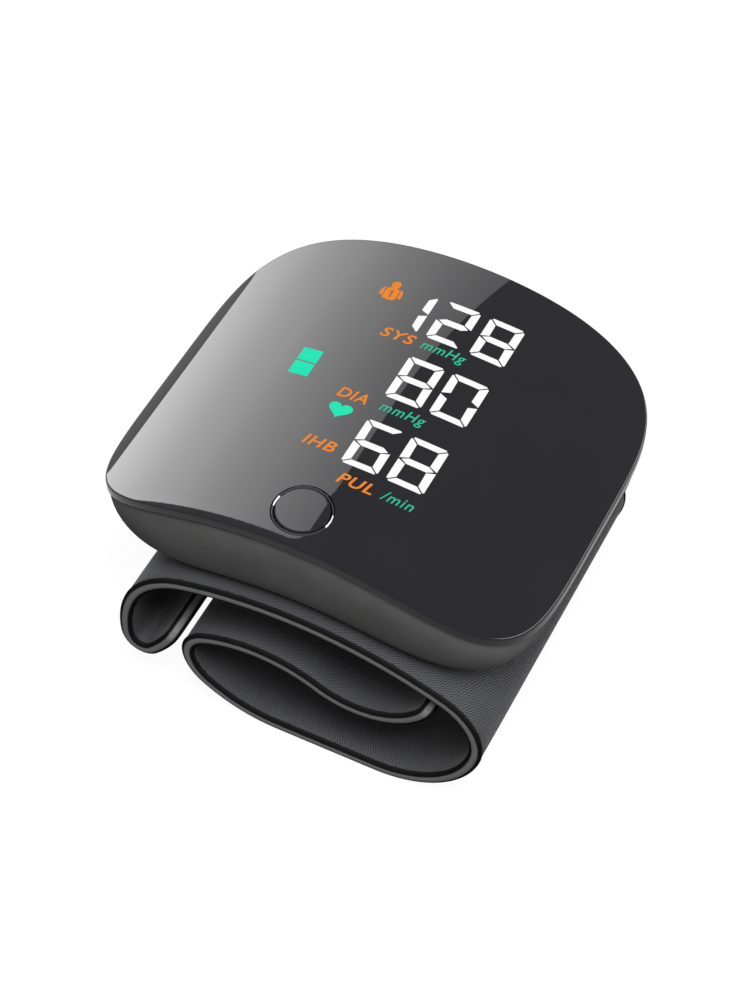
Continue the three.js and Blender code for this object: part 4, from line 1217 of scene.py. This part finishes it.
def make_world():
    world = bpy.data.worlds.new("studio")
    world.use_nodes = True
    scene.world = world
    world.node_tree.nodes.clear()
    mix = node(world, "ShaderNodeMixShader")
    feed(world, mix, {0: seen_rays(world)})
    for slot, level in ((1, AMBIENT), (2, 1.0)):
        sky = node(world, "ShaderNodeBackground", Color=(1, 1, 1, 1), Strength=level)
        feed(world, mix, {slot: sky.outputs[0]})
    node(world, "ShaderNodeOutputWorld", Surface=mix.outputs[0])


def make_floor():
    """White floor that keeps the object's shadow."""
    colours = {"Base Color": (FLOOR_WHITE, FLOOR_WHITE, FLOOR_WHITE, 1), "Emission Color": (1, 1, 1, 1)}
    levels = {"Roughness": 1.0, "Specular IOR Level": 0.0}
    material, shader = new_material("floor_white", {**colours, **levels})
    glow = math_node(material, "MULTIPLY", seen_rays(material), FLOOR_GLOW)
    feed(material, shader, {"Emission Strength": glow})
    r = FLOOR_REACH
    floor = build("floor", [(-r, -r, 0), (r, -r, 0), (r, r, 0), (-r, r, 0)], [(0, 1, 2, 3)], material)


def make_lamps():
    middle = Vector((0, 0, crest / 2))
    for name, place, power in LAMPS:
        data = bpy.data.lights.new(name, "AREA")
        data.size = LAMP_SIZE * MM
        data.energy = power
        lamp = placed(name, data)
        aim = (Vector(place) - middle).to_track_quat("Z", "Y").to_matrix().to_4x4()
        lamp.matrix_world = Matrix.Translation(Vector(place) * MM) @ aim
        lamp.visible_camera = False
        lamp.visible_glossy = False


CARD_DISTANCE = 600
CARD_EDGE = 2.9  # where the card's edge is mirrored in the panel
CARD_EDGE_DRIFT = 5.1  # how far that place drifts to the right at the panel's back edge
CARD_FAR = -43
CARD_FRONT = -33.1  # the card's front end is mirrored just inside the panel's front edge
CARD_BACK = 60
CARD_CORNER = 2.6
CARD_STEPS = 24
CARD_TOP_LEVEL = 12.4
# Share of the way across the card and share of its brightest level
CARD_LEVELS = ((0.0, 0.56), (0.25, 0.85), (0.5, 1.0), (0.75, 0.86), (1.0, 0.53))
CARD_BACK_SHARE = 0.5  # of the light that is left at the back end of the card
GLINT_LEVEL = 20
GLINT_TILTS = (42.3, 47.8)  # degrees that a mirror leans to the right when it shows the glint card
GLINT_TURNS = (-14, 14)  # degrees that it is turned from the X axis


def mirrored(place, normal):
    """Where a card lies that the camera sees in a mirror at this place."""
    sight = (eye - place).normalized()
    away = 2 * normal.dot(sight) * normal - sight
    return place + away * CARD_DISTANCE


def make_card(name, rows, levels, level, back_share):
    """White sheet through rows of points that only reflections show."""
    count = len(rows[0])
    points = [p for row in rows for p in row]
    uvs = [(i / (count - 1), k / (len(rows) - 1)) for k in range(len(rows)) for i in range(count)]
    faces = []
    for k in range(len(rows) - 1):
        for a in range(k * count, (k + 1) * count - 1):
            faces.append((a, a + 1, a + count + 1, a + count))
    material, glow = new_material(name, {}, "ShaderNodeEmission")
    x, y = split_axes(material, strip_places(material))
    across = ramp(material, x, greys(levels))
    along = spread(material, y, level, level * back_share)
    feed(material, glow, {"Strength": math_node(material, "MULTIPLY", across, along)})
    card = build(name, points, faces, material, uvs)
    card.visible_camera = False
    card.visible_diffuse = False
    card.visible_transmission = False
    card.visible_volume_scatter = False
    card.visible_shadow = False


def make_soft_card():
    """Curved card on the left. Its right edge draws the line along the middle of the panel."""
    corner = [CARD_CORNER * (1 - cos(a)) for a in quarter_turn(BEVEL_STEPS)[:-1]]
    depths = corner + [CARD_CORNER + (CARD_BACK - CARD_FRONT) * i / CARD_STEPS for i in range(CARD_STEPS)]
    rows = []
    for depth in depths:
        y = CARD_FRONT + depth
        edge = CARD_EDGE + CARD_EDGE_DRIFT * max(0.0, y / half_length) ** 2
        inside = max(0.0, CARD_CORNER - depth)
        edge -= CARD_CORNER - sqrt(CARD_CORNER**2 - inside**2)
        row = []
        for x in evenly(edge, CARD_FAR, CARD_STEPS):
            normal = Vector((x, 0, sqrt(ARCH_RADIUS**2 - x * x))) / ARCH_RADIUS
            row.append(mirrored(Vector((x, y, panel_top(x))), normal))
        rows.append(row)
    make_card("soft_card", rows, CARD_LEVELS, CARD_TOP_LEVEL, CARD_BACK_SHARE)


def make_glint_card():
    """Small bright card low on the right: two glints on the button's ring, a line on the panel's edge."""
    place = Vector((button_x, button_y, panel_top(button_x)))
    rows = []
    for tilt in evenly(*GLINT_TILTS, BEVEL_STEPS):
        across, up = sin(radians(tilt)), cos(radians(tilt))
        row = []
        for turn in evenly(*GLINT_TURNS, BEVEL_STEPS):
            angle = radians(turn)
            normal = Vector((across * cos(angle), across * sin(angle), up))
            row.append(mirrored(place, normal))
        rows.append(row)
    make_card("glint_card", rows, ((0.0, 1.0), (1.0, 1.0)), GLINT_LEVEL, 1.0)


scene.view_settings.view_transform = "Standard"
make_camera()
make_world()
make_floor()
make_lamps()
make_soft_card()
make_glint_card()
dress_solids()
make_panel()
make_shell()
make_button()
make_socket()
make_cuff()
make_patch()
make_digits()
make_legends()
make_icons()
